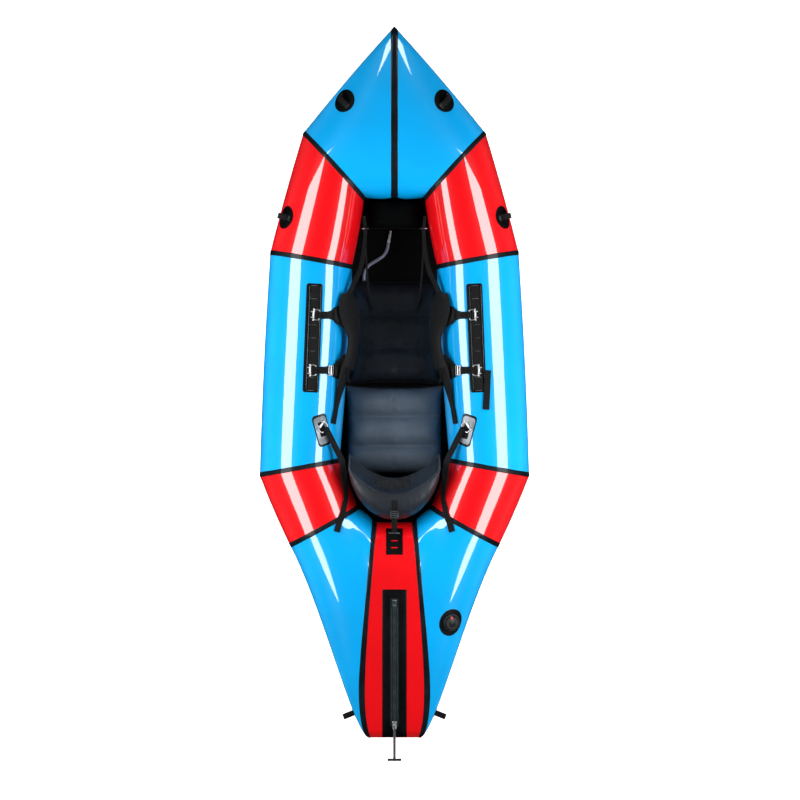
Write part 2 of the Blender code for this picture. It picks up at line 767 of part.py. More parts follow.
def grab_loop(name, side, place, turn, material):
    disc = circle(LOOP_PATCH_RADIUS, DISC_SIDES)
    patch = tube_patch(name, side * place, turn, disc, 0, PATCH_THICKNESS, material)
    seat = PATCH_LIFT + STITCH_SINK
    loop = arch("arch", side * place, turn, LOOP_SPAN, LOOP_RISE, LOOP_FOOT, seat, material)
    return combine(patch, loop, "UNION")


def stern_loop(name, side, material):
    """A loop whose two feet are welded to the side of the stern."""
    place, turn = find(*STERN_LOOP_PLACE_SHARES, 4, 5)
    sizes = (STERN_LOOP_SPAN, STERN_LOOP_RISE, STERN_LOOP_FOOT, STERN_LOOP_SEAT)
    return arch(name, side * place, turn, *sizes, material)


def wire_ring(name, frame, length, width, corner, rod, material, sides=SMALL_SIDES):
    """A ring of round rod with round corners, flat in its frame's XY plane."""
    outline = rounded_box(length, width, corner)
    count = len(outline)
    tangents = unit(np.roll(outline, -1, 0) - np.roll(outline, 1, 0))
    outward = np.stack((tangents[:, 1], -tangents[:, 0]), -1)
    rings = []
    for index in range(count):
        ring = []
        for step in range(sides):
            angle = step / sides * 2 * math.pi
            flat = outline[index] + rod * math.cos(angle) * outward[index]
            ring.append(frame @ Matrix.Translation((*flat, rod * math.sin(angle))).translation)
        rings.append(ring)
    return loft(name, rings, material, closed=True)


def rod(name, start, end, radii, material, sides=SMALL_SIDES):
    """A turned rod between two points; radii are (share of its length, radius) pairs."""
    start, end = np.asarray(start, float), np.asarray(end, float)
    axis = unit(end - start)
    aside = unit(np.cross(axis, np.eye(3)[np.abs(axis).argmin()]))
    aloft = np.cross(axis, aside)
    rings = []
    for share, radius in radii:
        middle = start + share * (end - start)
        angles = np.arange(sides) / sides * 2 * math.pi
        rings.append([middle + radius * (math.cos(a) * aside + math.sin(a) * aloft) for a in angles])
    return loft(name, rings, material)


def tube_frame(place, turn, lift, toe_deg=0.0):
    """A frame on the hull: X across the tube, outwards, and Z along its normal."""
    across = hull_across(place, turn)
    normal = hull_normal(place, turn)
    frame = frame_at(skin(place, turn, lift), across, normal)
    return frame @ Matrix.Rotation(math.radians(toe_deg), 4, "Z")


def buckle_frame(place, turn, toe_deg):
    drop = (BUCKLE_LENGTH / 2) ** 2 / TUBE_DIAMETER
    lift = PATCH_LIFT + PATCH_THICKNESS + BUCKLE_LIFT + HOOK_BALL_RADIUS - drop
    return tube_frame(place, turn, lift, toe_deg)


def over_bar(place, turn, toe_deg, reach_shares):
    """Stations of the webbing that leaves a buckle over its inboard bar, by reach in radii of its rod."""
    frame = buckle_frame(place, turn, toe_deg)
    normal = frame.to_3x3().col[2]
    rise = BUCKLE_ROD_RADIUS + 2 * CLEARANCE + WEBBING_THICKNESS / 2
    stations = []
    for share in reach_shares:
        reach = -share * BUCKLE_ROD_RADIUS - BUCKLE_LENGTH / 2
        point = frame @ Matrix.Translation((reach, 0, rise)).translation
        stations.append((*point, *normal, 1))
    return stations


def buckle(name, place, turn, toe_deg, material):
    """A rectangular ring for the webbing, hinged round a hook bar with two ball ends."""
    frame = buckle_frame(place, turn, toe_deg)
    sizes = (BUCKLE_LENGTH, BUCKLE_WIDTH, BUCKLE_CORNER_RADIUS, BUCKLE_ROD_RADIUS)
    ring = wire_ring(name, frame, *sizes, material, 6)
    reach = BUCKLE_WIDTH / 2 + BUCKLE_BAR_OVERHANG
    x = BUCKLE_LENGTH / 2
    ends = [frame @ Matrix.Translation((x, sign * reach, 0)).translation for sign in (-1, 1)]
    neck = HOOK_BALL_RADIUS / reach
    ball, thin = HOOK_BALL_RADIUS, BUCKLE_ROD_RADIUS * 1.1
    half = ((0, ball / 2), (neck / 2, ball), (neck, thin))
    radii = (*half, *((1 - share, radius) for share, radius in reversed(half)))
    bar = rod("bar", *ends, radii, material)
    return combine(ring, bar, "UNION")


def side_route(side, x_share, y_share, pad_rows):
    """Stations of a side strap: over the buckle's bar, over the tube's shoulder and to the thigh pad."""
    place, turn = find_side(x_share, y_share)
    stations = over_bar(side * place, turn, 0, BAR_REACH_SHARES)
    step = local_steps(place, turn)[1, 1]
    first = turn - abs(step) * BUCKLE_LENGTH
    for share in np.linspace(0, 1, STRAP_STEPS + 1):
        last_place, last_turn = find_side(SIDE_STRAP_IN_SHARE, y_share)
        here = (place + share * (last_place - place), first + share * (last_turn - first))
        point, normal = on_tube(side, here)
        stations.append((*point, *normal, 1))
    stations.append(pad_rows[np.abs(pad_rows[:, 1] - stations[0][1]).argmin()])
    return stations


def thigh_strap(name, side, material):
    """The thigh brace of one side: a curved pad with a front strap, two side straps and a rear strap."""
    rows = smooth_route(strap_route(PAD_ROUTE_SHARES, side), STRAP_STEPS)
    widths = PAD_WIDTH * rows[:, 6]
    brace = strap_solid(name, rows[:, :3], rows[:, 3:6], widths, THIGH_PAD_THICKNESS, material)
    for route, width in ((FRONT_ROUTE_SHARES, FRONT_STRAP_WIDTH), (REAR_ROUTE_SHARES, WEBBING_WIDTH)):
        line = smooth_route(strap_route(route, side), STRAP_STEPS)
        strap = strap_solid("strap", line[:, :3], line[:, 3:6], width, WEBBING_THICKNESS, material)
        combine(brace, strap, "UNION")
    for shares in (FRONT_BUCKLE_PLACE_SHARES, REAR_BUCKLE_PLACE_SHARES):
        line = np.array([row[:6] for row in side_route(side, *shares, rows)])
        strap = strap_solid("strap", line[:, :3], line[:, 3:], WEBBING_WIDTH, WEBBING_THICKNESS, material)
        combine(brace, strap, "UNION")
    return brace


def back_strap(name, side, material):
    """Webbing from the rear hook past the backrest, its tail loose on the quarter tube."""
    place, turn = find_side(*HOOK_PLACE_SHARES)
    stations = over_bar(side * place, turn, side * HOOK_TOE_DEG, HOOK_REACH_SHARES)
    stations += strap_route(BACK_STRAP_ROUTE_SHARES, side)
    line = smooth_route(stations, STRAP_STEPS)
    return strap_solid(name, line[:, :3], line[:, 3:6], BACK_STRAP_WIDTH, WEBBING_THICKNESS, material)


def front_ring(name, side, material):
    """An oval ring round the front strap, square to it."""
    line = smooth_route(strap_route(FRONT_ROUTE_SHARES, side), STRAP_STEPS)
    index = round(RING_SHARE * (len(line) - 1))
    tangent = unit(line[index + 1, :3] - line[index - 1, :3])
    aside = unit(np.cross(line[index, 3:6], tangent))
    frame = frame_at(line[index, :3], aside, tangent)
    half = RING_ROD_RADIUS + RING_PLAY + WEBBING_THICKNESS / 2
    return wire_ring(name, frame, RING_WIDTH, 2 * half, half, RING_ROD_RADIUS, material, 6)


def floor_sheet(name, material):
    """The flat floor, from under the middle of one tube to the other, with its welding lap outside."""
    places = np.linspace(0, 6, FLOOR_STEPS + 1)[:, None]
    turns = np.linspace(0.5, 1, 4 * ARC_STEPS)[None, :]
    points = hull(places, turns)
    low = points[np.arange(len(places)), points[..., 2].argmin(1)]
    outward = hull(places[:, 0], 0.5)[:, :2] - hull(places[:, 0], 0.0)[:, :2]
    edge = low[:, :2] + FLOOR_LAP * unit(outward)
    edge[0, 0] = edge[-1, 0] = 0
    outline = np.concatenate((edge, (edge * (-1, 1))[-2:0:-1]))
    bm = bmesh.new()
    face = bm.faces.new([bm.verts.new((x, y, 0)) for x, y in outline])
    grown = bmesh.ops.extrude_face_region(bm, geom=[face])["geom"]
    upper = [v for v in grown if isinstance(v, bmesh.types.BMVert)]
    bmesh.ops.translate(bm, verts=upper, vec=(0, 0, FLOOR_THICKNESS))
    return add_solid(name, bm, material)


def cushion(name, size, centre_y, base, channels, counts, material):
    """An inflated pad with cross channels: crowned on top, drawn in along its sides and flat underneath."""
    width, length, height = size
    columns, rows = counts
    a = np.linspace(-1, 1, columns + 1)[None, :]
    b = np.linspace(-1, 1, rows + 1)[:, None]
    x = a * width / 2 * (1 - CUSHION_DRAW_SHARE * (1 - b**2))
    y = centre_y + b * length / 2 * (1 - CUSHION_DRAW_SHARE * (1 - a**2))
    rim = np.sqrt(np.clip((1 - np.abs(a) ** 5) * (1 - np.abs(b) ** 8), 0, 1))
    wave = np.abs(np.sin(channels * math.pi * (b + 1) / 2)) ** 0.5 if channels else 1 + 0 * b
    crown = rim * (1 - CHANNEL_DEPTH_SHARE + CHANNEL_DEPTH_SHARE * wave)
    middle = base + height * 0.35
    top = middle + (base + height - middle) * crown
    bottom = middle + (base - middle) * np.minimum(1, 2 * rim)
    bm = bmesh.new()
    crest = np.stack((x, y, top), -1)
    above = [[bm.verts.new(crest[r, c]) for c in range(columns + 1)] for r in range(rows + 1)]
    below = [row[:] for row in above]
    for r in range(1, rows):
        for c in range(1, columns):
            below[r][c] = bm.verts.new((x[r, c], y[r, c], bottom[r, c]))
    for sheet in (above, below):
        for r in range(rows):
            for c in range(columns):
                bm.faces.new((sheet[r][c], sheet[r][c + 1], sheet[r + 1][c + 1], sheet[r + 1][c]))
    return add_solid(name, bm, material)


def backrest_point(a, b, bulge):
    """A point of the backrest: a across from -1 to 1, b up from 0 to 1, bulge forward of its rim's sheet."""
    lean = math.tan(math.radians(BACKREST_LEAN_DEG))
    rise = BACKREST_WING_RISE_SHARE * BACKREST_HEIGHT * a**2 * (1 - b)
    z = BACKREST_BASE_HEIGHT + BACKREST_HEIGHT * b + rise
    x = a * BACKREST_WIDTH / 2
    rim = np.sqrt(np.clip((1 - np.abs(a) ** 4) * (1 - np.abs(2 * b - 1) ** 3), 0, 1))
    cockpit_end = BOW_Y - HULL_LENGTH + STERN_DEPTH
    sheet = cockpit_end + BACKREST_STERN_GAP + BACKREST_SWEEP * a**2
    y = sheet + lean * BACKREST_HEIGHT * (1 - b) + rim * bulge
    return np.stack(np.broadcast_arrays(x, y, z), -1)


def backrest_levels(rows):
    """Shares of the backrest's height, closer together towards its rim."""
    return (1 - np.cos(rows / BACKREST_GRID[1] * math.pi)) / 2


def backrest(name, material):
    """A curved pillow that wraps round the paddler's back, full behind and flatter in front."""
    columns, rows = BACKREST_GRID
    a = np.linspace(-1, 1, columns + 1)[None, :]
    b = backrest_levels(np.arange(rows + 1)[:, None])
    rear = backrest_point(a, b, -BACKREST_REAR_BULGE)
    front = backrest_point(a, b, BACKREST_FRONT_BULGE)
    bm = bmesh.new()
    behind = [[bm.verts.new(rear[r, c]) for c in range(columns + 1)] for r in range(rows + 1)]
    before = [row[:] for row in behind]
    for r in range(1, rows):
        for c in range(1, columns):
            before[r][c] = bm.verts.new(front[r, c])
    for sheet in (behind, before):
        for r in range(rows):
            for c in range(columns):
                bm.faces.new((sheet[r][c], sheet[r][c + 1], sheet[r + 1][c + 1], sheet[r + 1][c]))
    return add_solid(name, bm, material)


def stern_turn(y_share):
    """The turn of the stern's centreline, on top, at a share of the hull's length."""
    target = plan(0, y_share)[1]
    turns = np.linspace(0, 0.5, 40 * ARC_STEPS)
    return np.interp(-target, -hull(6.0, turns)[:, 1], turns)


def deck_to_hull(x, turn):
    """Place and turn of a point of the deck panel, from its distance off the centreline and its turn."""
    along, _ = seam_outline(SEAMS[5], turn)
    return 6 - x / deck_half_width(along / SEAMS[5].reach), turn


def deck_patch(name, half_width, start, end, thickness, material):
    outline = ((-half_width, start), (half_width, start), (half_width, end), (-half_width, end))
    return drape(name, outline, deck_to_hull, 0, thickness, material)


def deck_frame(y_share, lift=0.0):
    """A frame on the straight top of the stern: X to the right, Y towards the bow and Z off the deck."""
    apart, top, _ = seam_tangents(SEAMS[6])
    seam = SEAMS[6]
    start_along = seam.inner_radius * (1 + math.cos(top))
    start_height = BASE + seam.inner_radius * (1 + math.sin(top))
    start_y = seam.y + seam.reach - start_along
    y = plan(0, y_share)[1]
    drop = (start_y - y) / math.tan(top)
    normal = np.array((0, -math.cos(top), math.sin(top)))
    origin = np.array((0, y, start_height - drop)) + lift * normal
    return frame_at(origin, (1, 0, 0), normal)


def prism(name, frame, profile, start, end, material):
    """A profile in its frame's XZ plane, drawn along Y."""
    rings = []
    for y in (start, end):
        rings.append([frame @ Matrix.Translation((x, y, z)).translation for x, z in profile])
    return loft(name, rings, material)


def zip_chain(name, material):
    """The zip: its tape, two rails with the groove between them, and the dock at the front end."""
    frame = deck_frame(ZIP_START_SHARE, PATCH_LIFT + PATCH_THICKNESS + CLEARANCE)
    length = (ZIP_END_SHARE - ZIP_START_SHARE) * HULL_LENGTH
    tape, rail, groove = ZIP_TAPE_WIDTH / 2, ZIP_RAIL_WIDTH / 2, ZIP_GROOVE_WIDTH / 2
    low, high = ZIP_TAPE_THICKNESS, ZIP_RAIL_HEIGHT
    half = [(tape, 0), (tape, low), (rail, low), (rail * 0.85, high), (groove, high), (groove, low)]
    profile = half + [(-x, z) for x, z in reversed(half)]
    chain = prism(name, frame, profile, 0, -length, material)
    corner = (-DOCK_WIDTH / 2, -DOCK_LENGTH, low / 2)
    dock = box("dock", frame, corner, (DOCK_WIDTH / 2, -CLEARANCE, DOCK_HEIGHT), material)
    return combine(chain, dock, "UNION")


def slider_frame():
    """The slider's frame, with its origin on the pull's hinge axis."""
    lift = PATCH_LIFT + PATCH_THICKNESS + CLEARANCE
    ahead = SLIDER_INSET + STERN_END_RADIUS + SLIDER_LENGTH / 2
    return deck_frame(1, lift) @ Matrix.Translation((0, ahead, 0))


def zip_slider(name, material):
    """A saddle over the rails, with two ears and the pin that carries the pull."""
    frame = slider_frame()
    inner, outer = ZIP_RAIL_WIDTH / 2 + RUNNING_GAP, SLIDER_WIDTH / 2
    low, roof, top = ZIP_TAPE_THICKNESS + RUNNING_GAP, ZIP_RAIL_HEIGHT + RUNNING_GAP, SLIDER_HEIGHT
    edge = SLIDER_HEIGHT / 4
    half = [(inner, roof), (inner, low), (outer, low), (outer, top - edge), (outer - edge, top)]
    profile = half + [(-x, z) for x, z in reversed(half)]
    slider = prism(name, frame, profile, -SLIDER_LENGTH / 2, SLIDER_LENGTH / 2, material)
    rise = top + EYE_RISE
    for side in (-1, 1):
        near, far = side * EAR_SPREAD, side * (EAR_SPREAD - EAR_THICKNESS)
        corner = (min(near, far), -EYE_RADIUS, top - edge)
        ear = box("ear", frame, corner, (max(near, far), EYE_RADIUS, rise + PIN_RADIUS * 2), material)
        combine(slider, ear, "UNION")
    reach = EAR_SPREAD - EAR_THICKNESS / 2
    ends = [frame @ Matrix.Translation((sign * reach, 0, rise)).translation for sign in (-1, 1)]
    pin = rod("pin", *ends, ((0, PIN_RADIUS), (1, PIN_RADIUS)), material)
    return combine(slider, pin, "UNION")


def zip_pull(name, material):
    """The pull: an eye round the slider's pin, a stiff strap and the toggle bar across its end."""
    frame = slider_frame() @ Matrix.Translation((0, 0, SLIDER_HEIGHT + EYE_RISE))
    half = EAR_SPREAD - EAR_THICKNESS - RUNNING_GAP
    bore = PIN_RADIUS + RUNNING_GAP
    rings = []
    for x, radius in ((-half, bore), (-half, EYE_RADIUS), (half, EYE_RADIUS), (half, bore)):
        angles = np.arange(2 * SMALL_SIDES) / SMALL_SIDES * math.pi
        ring = [(x, radius * math.cos(a), radius * math.sin(a)) for a in angles]
        rings.append([frame @ Matrix.Translation(point).translation for point in ring])
    pull = loft(name, rings, material, closed=True)
    start = -(bore + EYE_RADIUS) / 2
    neck, thin = PULL_WIDTH / 2, PULL_THICKNESS / 2
    outline = ((start, half * 0.9), (2.5 * start, half * 0.9), (4.5 * start, neck), (-PULL_LENGTH, neck))
    sections = []
    for y, x in outline:
        corners = ((-x, -thin), (x, -thin), (x, thin), (-x, thin))
        sections.append([frame @ Matrix.Translation((cx, y, cz)).translation for cx, cz in corners])
    combine(pull, loft("strap", sections, material), "UNION")
    half = TOGGLE_LENGTH / 2
    ends = [frame @ Matrix.Translation((x, -PULL_LENGTH, 0)).translation for x in (-half, half)]
    round_end, full = TOGGLE_RADIUS * 0.7, TOGGLE_RADIUS
    edge = TOGGLE_RADIUS / 2 / TOGGLE_LENGTH
    toggle = rod("toggle", *ends, ((0, round_end), (edge, full), (1 - edge, full), (1, round_end)), material)
    pull = combine(pull, toggle, "UNION")
    axis = frame.translation.copy()
    pull.data.transform(Matrix.Translation(-axis))
    pull.location = axis
    return pull


def lathe_rings(frame, profile, sides, wobble=0.0):
    """Rings of points about a frame's Z axis; wobble draws every other pair of points in for a grip."""
    rings = []
    for radius, height in profile:
        ring = []
        for index in range(sides):
            angle = index / sides * 2 * math.pi
            inset = wobble if radius > 0 and index % 2 else 0
            r = radius - inset
            point = (r * math.cos(angle), r * math.sin(angle), height)
            ring.append(frame @ Matrix.Translation(point).translation)
        rings.append(ring)
    return rings


def valve(material_base, material_cap):
    """The valve's base, welded on a round patch, and the cap that turns in it."""
    place, turn = find(*VALVE_PLACE_SHARES, 4, 5)
    disc = circle(VALVE_PATCH_RADIUS, DISC_SIDES)
    base = tube_patch("valve_base", place, turn, disc, 0, PATCH_THICKNESS, material_base)
    frame = tube_frame(place, turn, 0)
    rim, bore = VALVE_BODY_RADIUS, VALVE_BODY_RADIUS - VALVE_RIM_WIDTH
    rings = []
    ahead, normal = unit(hull_along(place, turn)), hull_normal(place, turn)
    aside = np.cross(normal, ahead)
    centre = skin(place, turn, 0)
    high = VALVE_BODY_HEIGHT
    for radius, height in ((bore, None), (rim, None), (rim, high - CLEARANCE), (bore, high)):
        flat = circle(radius, DISC_SIDES)
        if height is None:
            where = settle(place, turn, flat)
            points = skin(where[:, 0], where[:, 1], PATCH_LIFT + STITCH_SINK)
        else:
            points = centre + flat[:, :1] * ahead + flat[:, 1:] * aside + height * normal
        rings.append(points)
    combine(base, loft("body", rings, material_base, closed=True), "UNION")
    low = PATCH_LIFT + PATCH_THICKNESS + CAP_SEAT_GAP
    radius, top = CAP_RADIUS, low + CAP_HEIGHT
    chamfer = CAP_HEIGHT / 6
    profile = ((radius, low), (radius, top - chamfer), (radius - chamfer, top))
    cap = loft("valve_cap", lathe_rings(frame, profile, 2 * CAP_GRIP_COUNT, CAP_GRIP_DEPTH), material_cap)
    tab = box(
        "tab",
        frame,
        (-radius, -CAP_TAB_WIDTH / 2, top - CAP_TAB_THICKNESS / 2),
        (CAP_TAB_LENGTH - radius, CAP_TAB_WIDTH / 2, top + CAP_TAB_THICKNESS),
        material_cap,
    )
    combine(cap, tab, "UNION")
    middle = frame.translation.copy()
    cap.data.transform(Matrix.Translation(-middle))
    cap.location = middle
    return base, cap


def ladder_turn(share):
    """The turn of the stern's centreline at a share of the ladder patch's length, from its front."""
    end = stern_turn(1 - LADDER_END_SHARE * STERN_DEPTH / HULL_LENGTH)
    per_metre = 1 / np.linalg.norm(hull_across(6.0, end))
    return end - (1 - share) * LADDER_LENGTH * per_metre


def ladder_patch(name, material):
    """The patch behind the backrest, with the slots that its strap's bar hooks into."""
    patch = deck_patch(name, LADDER_WIDTH / 2, ladder_turn(0), ladder_turn(1), PATCH_THICKNESS, material)
    for share in LADDER_SLOT_SHARES:
        turn = ladder_turn(share)
        frame = frame_at(skin(6.0, turn, 0), (1, 0, 0), hull_normal(6.0, turn))
        reach = (LADDER_SLOT_LENGTH / 2, LADDER_SLOT_WIDTH / 2, LADDER_SLOT_WIDTH)
        slot = box("slot", frame, [-value for value in reach], reach, material)
        combine(patch, slot, "DIFFERENCE")
    return patch


def rear_strap(material_strap, material_bar):
    """The strap from the top of the backrest to the bar that lies on the ladder patch."""
    bar_turn = ladder_turn(LADDER_BAR_SHARE)
    lift = PATCH_LIFT + PATCH_THICKNESS + CLEARANCE + BAR_RADIUS
    bar_point = skin(6.0, bar_turn, lift)
    normal = hull_normal(6.0, bar_turn)
    offset = np.array((BAR_LENGTH / 2, 0, 0))
    radii = ((0, BAR_RADIUS), (1, BAR_RADIUS))
    bar = rod("strap_bar", bar_point - offset, bar_point + offset, radii, material_bar)
    levels = backrest_levels(BACKREST_STRAP_ROW + np.array((-1, 0, 1)))
    lower, top, upper = backrest_point(0.0, levels, -BACKREST_REAR_BULGE)
    facing = unit(np.cross(upper - lower, (1, 0, 0)))
    top = top - facing * (WEBBING_THICKNESS / 2 + CLEARANCE)
    pull = unit(top - bar_point)
    aloft = unit(np.cross((1, 0, 0), pull))
    end = bar_point + (BAR_RADIUS + CLEARANCE) * pull
    near = end + (top - end) / 3
    middle = end + (top - end) * 2 / 3 + WEBBING_THICKNESS * aloft
    stations = np.array((
        (*top, *-facing),
        (*middle, *aloft),
        (*near, *aloft),
        (*end, *aloft),
    ))
    line = smooth_route(stations, STRAP_STEPS)
    sizes = (REAR_STRAP_WIDTH, WEBBING_THICKNESS)
    strap = strap_solid("backrest_strap", line[:, :3], line[:, 3:6], *sizes, material_strap)
    return strap, bar


def hose_route(pad_y, brace_y):
    """Points of the hose's middle on the floor, from the leg pad to the mouthpiece behind the foot brace."""
    height = FLOOR_THICKNESS + HOSE_REST_GAP + HOSE_DIAMETER / 2
    start_x, end_x = HOSE_START_SHARE * HULL_WIDTH / 2, HOSE_END_SHARE * HULL_WIDTH / 2
    drawn = CUSHION_DRAW_SHARE * (1 - (2 * start_x / LEG_PAD_WIDTH) ** 2)
    start = np.array((start_x, pad_y + LEG_PAD_LENGTH / 2 * (1 - drawn) - HOSE_TUCK + CLEARANCE))
    end = np.array((end_x, brace_y - BRACE_LENGTH / 2 - MOUTHPIECE_LENGTH - MOUTHPIECE_TIP_RADIUS))
    shares, headings = np.transpose(HOSE_BEND_SHARES)
    heading = np.radians(np.interp(np.linspace(0, 1, 8 * ARC_STEPS), shares, headings))
    path = np.cumsum(np.stack((np.sin(heading), np.cos(heading)), -1), axis=0)
    path = (path - path[0]) / (path[-1] - path[0])
    path = start + (end - start) * path
    length = np.concatenate(([0], np.cumsum(np.linalg.norm(np.diff(path, axis=0), axis=1))))
    wanted = np.linspace(0, length[-1], round(length[-1] / HOSE_STEP) + 1)
    return np.stack([*(np.interp(wanted, length, values) for values in path.T), height + 0 * wanted], -1)


def hose(pad_y, brace_y, material_hose, material_mouth):
    points = hose_route(pad_y, brace_y)
    curve = bpy.data.curves.new("inflation_hose", "CURVE")
    curve.dimensions = "3D"
    curve.bevel_depth = HOSE_DIAMETER / 2
    curve.bevel_resolution = 2
    curve.use_fill_caps = True
    spline = curve.splines.new("POLY")
    spline.points.add(len(points[1:]))
    for target, point in zip(spline.points, points):
        target.co = (*point, 1)
    curve.materials.append(material_hose)
    thing = bpy.data.objects.new("inflation_hose", curve)
    bpy.context.scene.collection.objects.link(thing)
    ahead = unit(points[-1] - points[-2])
    start = points[-1] + CLEARANCE * ahead
    end = start + MOUTHPIECE_LENGTH * ahead
    wide, thin = HOSE_DIAMETER / 2, MOUTHPIECE_TIP_RADIUS
    collar = MOUTHPIECE_COLLAR_LENGTH / MOUTHPIECE_LENGTH
    radii = ((0, wide), (collar, wide), (collar, thin), (0.9, thin), (1, thin * 0.8))
    mouth = rod("hose_mouthpiece", start, end, radii, material_mouth)
    return thing, mouth


def main():
    for thing in list(bpy.data.objects):
        bpy.data.objects.remove(thing)
    blue = make_material("coated_nylon_blue", (0.0, 0.45, 0.90), 0.25)
    red = make_material("coated_nylon_red", (0.90, 0.02, 0.02), 0.25)
    black = make_material("coated_nylon_black", (0.01, 0.012, 0.016), 0.35)
    charcoal = make_material("coated_nylon_charcoal", (0.02, 0.025, 0.03), 0.45)
    webbing = make_material("webbing_black", (0.012, 0.012, 0.014), 0.8)
    steel = make_material("stainless_steel", (0.62, 0.62, 0.62), 0.25, 1.0)
    rubber = make_material("moulded_rubber_black", (0.015, 0.015, 0.017), 0.6)
    clear = make_material("clear_tube", (0.45, 0.47, 0.55), 0.3)

    for side, word in ((-1, "left"), (1, "right")):
        hull_panel(f"bow_panel_{word}", side, 0, 1, blue)
        hull_panel(f"shoulder_panel_{word}", side, 1, 2, red)
        hull_panel(f"side_panel_{word}", side, 2, 3, blue)
        hull_panel(f"quarter_panel_{word}", side, 3, 4, red)
        hull_panel(f"stern_panel_{word}", side, 4, 5, blue)
        seam_tape(f"shoulder_front_tape_{word}", side, 1, TAPE_WIDTH, ROUND_TAPE_SHARES, black)
        seam_tape(f"shoulder_rear_tape_{word}", side, 2, TAPE_WIDTH, ROUND_TAPE_SHARES, black)
        seam_tape(f"quarter_front_tape_{word}", side, 3, TAPE_WIDTH, ROUND_TAPE_SHARES, black)
        seam_tape(f"quarter_rear_tape_{word}", side, 4, TAPE_WIDTH, ROUND_TAPE_SHARES, black)
        seam_tape(f"deck_tape_{word}", side, 5, DECK_TAPE_WIDTH, DECK_TAPE_SHARES, black)
        grab_loop(f"bow_loop_{word}", side, *find(*BOW_LOOP_PLACE_SHARES, 0, 1), webbing)
        grab_loop(f"shoulder_loop_{word}", side, *find(*SHOULDER_LOOP_PLACE_SHARES, 1, 2), webbing)
        stern_loop(f"stern_loop_{word}", side, webbing)
        place, turn = find_side(*STRAP_PATCH_PLACE_SHARES)
        corners = rounded_box(STRAP_PATCH_LENGTH, STRAP_PATCH_WIDTH, STRAP_PATCH_WIDTH / 8)
        toe = side * STRAP_PATCH_TOE_DEG
        tube_patch(f"strap_patch_{word}", side * place, turn, corners, toe, PATCH_THICKNESS, webbing)
        place, turn = find_side(*REAR_PATCH_PLACE_SHARES)
        corners = rounded_box(REAR_PATCH_LENGTH, REAR_PATCH_WIDTH, REAR_PATCH_WIDTH / 4)
        toe = -side * REAR_PATCH_TOE_DEG
        tube_patch(f"rear_patch_{word}", side * place, turn, corners, toe, PATCH_THICKNESS, black)
        for kind, shares, toe in (
            ("side_buckle_front", FRONT_BUCKLE_PLACE_SHARES, 0),
            ("side_buckle_rear", REAR_BUCKLE_PLACE_SHARES, 0),
            ("rear_buckle", HOOK_PLACE_SHARES, side * HOOK_TOE_DEG),
        ):
            place, turn = find_side(*shares)
            buckle(f"{kind}_{word}", side * place, turn, toe, steel)
        thigh_strap(f"thigh_strap_{word}", side, webbing)
        front_ring(f"front_ring_{word}", side, steel)
        back_strap(f"back_strap_{word}", side, webbing)

    hull_panel("stern_deck_panel", 1, 5, 7, red)
    seam_tape("bow_centre_tape", 1, 0, BOW_TAPE_WIDTH, LONG_TAPE_SHARES, black)
    floor_sheet("floor_sheet", charcoal)

    seat_y = plan(0, SEAT_CENTRE_SHARE)[1]
    seat_size = (SEAT_WIDTH, SEAT_LENGTH, SEAT_HEIGHT)
    cushion("seat_cushion", seat_size, seat_y, BASE, SEAT_CHANNELS, (8, 24), charcoal)
    pad_y = seat_y + (SEAT_LENGTH + LEG_PAD_LENGTH) / 2 + CLEARANCE
    pad_size = (LEG_PAD_WIDTH, LEG_PAD_LENGTH, LEG_PAD_HEIGHT)
    cushion("leg_pad", pad_size, pad_y, BASE, LEG_PAD_CHANNELS, (6, 18), charcoal)
    brace_y = plan(0, BRACE_CENTRE_SHARE)[1]
    cushion("foot_brace", (BRACE_WIDTH, BRACE_LENGTH, BRACE_HEIGHT), brace_y, BASE, 0, (8, 6), charcoal)
    backrest("backrest", charcoal)
    rear_strap(webbing, steel)
    ladder_patch("ladder_patch", webbing)

    start = stern_turn(ZIP_PATCH_START_SHARE)
    deck_patch("zip_patch", ZIP_PATCH_WIDTH / 2, start, ZIP_PATCH_END_TURN_SHARE, PATCH_THICKNESS, black)
    zip_chain("zip_chain", rubber)
    zip_slider("zip_slider", steel)
    zip_pull("zip_pull", webbing)
    valve(rubber, rubber)
    hose(pad_y, brace_y, clear, clear)


main()
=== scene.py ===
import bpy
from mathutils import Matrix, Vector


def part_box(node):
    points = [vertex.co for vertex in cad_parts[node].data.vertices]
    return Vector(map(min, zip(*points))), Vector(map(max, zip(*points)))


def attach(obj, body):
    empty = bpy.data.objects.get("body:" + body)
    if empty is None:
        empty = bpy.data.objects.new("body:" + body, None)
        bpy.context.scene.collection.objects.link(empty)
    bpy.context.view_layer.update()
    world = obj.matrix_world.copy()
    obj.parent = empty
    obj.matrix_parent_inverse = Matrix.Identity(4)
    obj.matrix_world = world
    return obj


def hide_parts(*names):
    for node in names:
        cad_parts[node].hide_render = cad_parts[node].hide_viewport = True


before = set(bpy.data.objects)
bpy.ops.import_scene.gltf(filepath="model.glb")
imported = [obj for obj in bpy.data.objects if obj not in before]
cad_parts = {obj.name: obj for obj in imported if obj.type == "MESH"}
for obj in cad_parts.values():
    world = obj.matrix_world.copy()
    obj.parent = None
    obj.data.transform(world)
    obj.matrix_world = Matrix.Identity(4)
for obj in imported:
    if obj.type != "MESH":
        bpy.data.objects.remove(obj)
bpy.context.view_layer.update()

"""Dress for a one-person inflatable packraft: coated fabric hull, cockpit fittings, zip, valve and hose.

Every surface is worked out in the frame's own metres, +Y towards the bow and the floor on Z = 0. A place on
the tube ring is counted in seams, 0 at the bow to 6 at the stern and negative on the left, and a turn goes
round the tube from the cockpit side: 0.25 is on top and 0.5 outside.
"""

import math
from collections import namedtuple

import bpy
import numpy as np
from bpy.props import FloatProperty, FloatVectorProperty, PointerProperty
from mathutils import Matrix

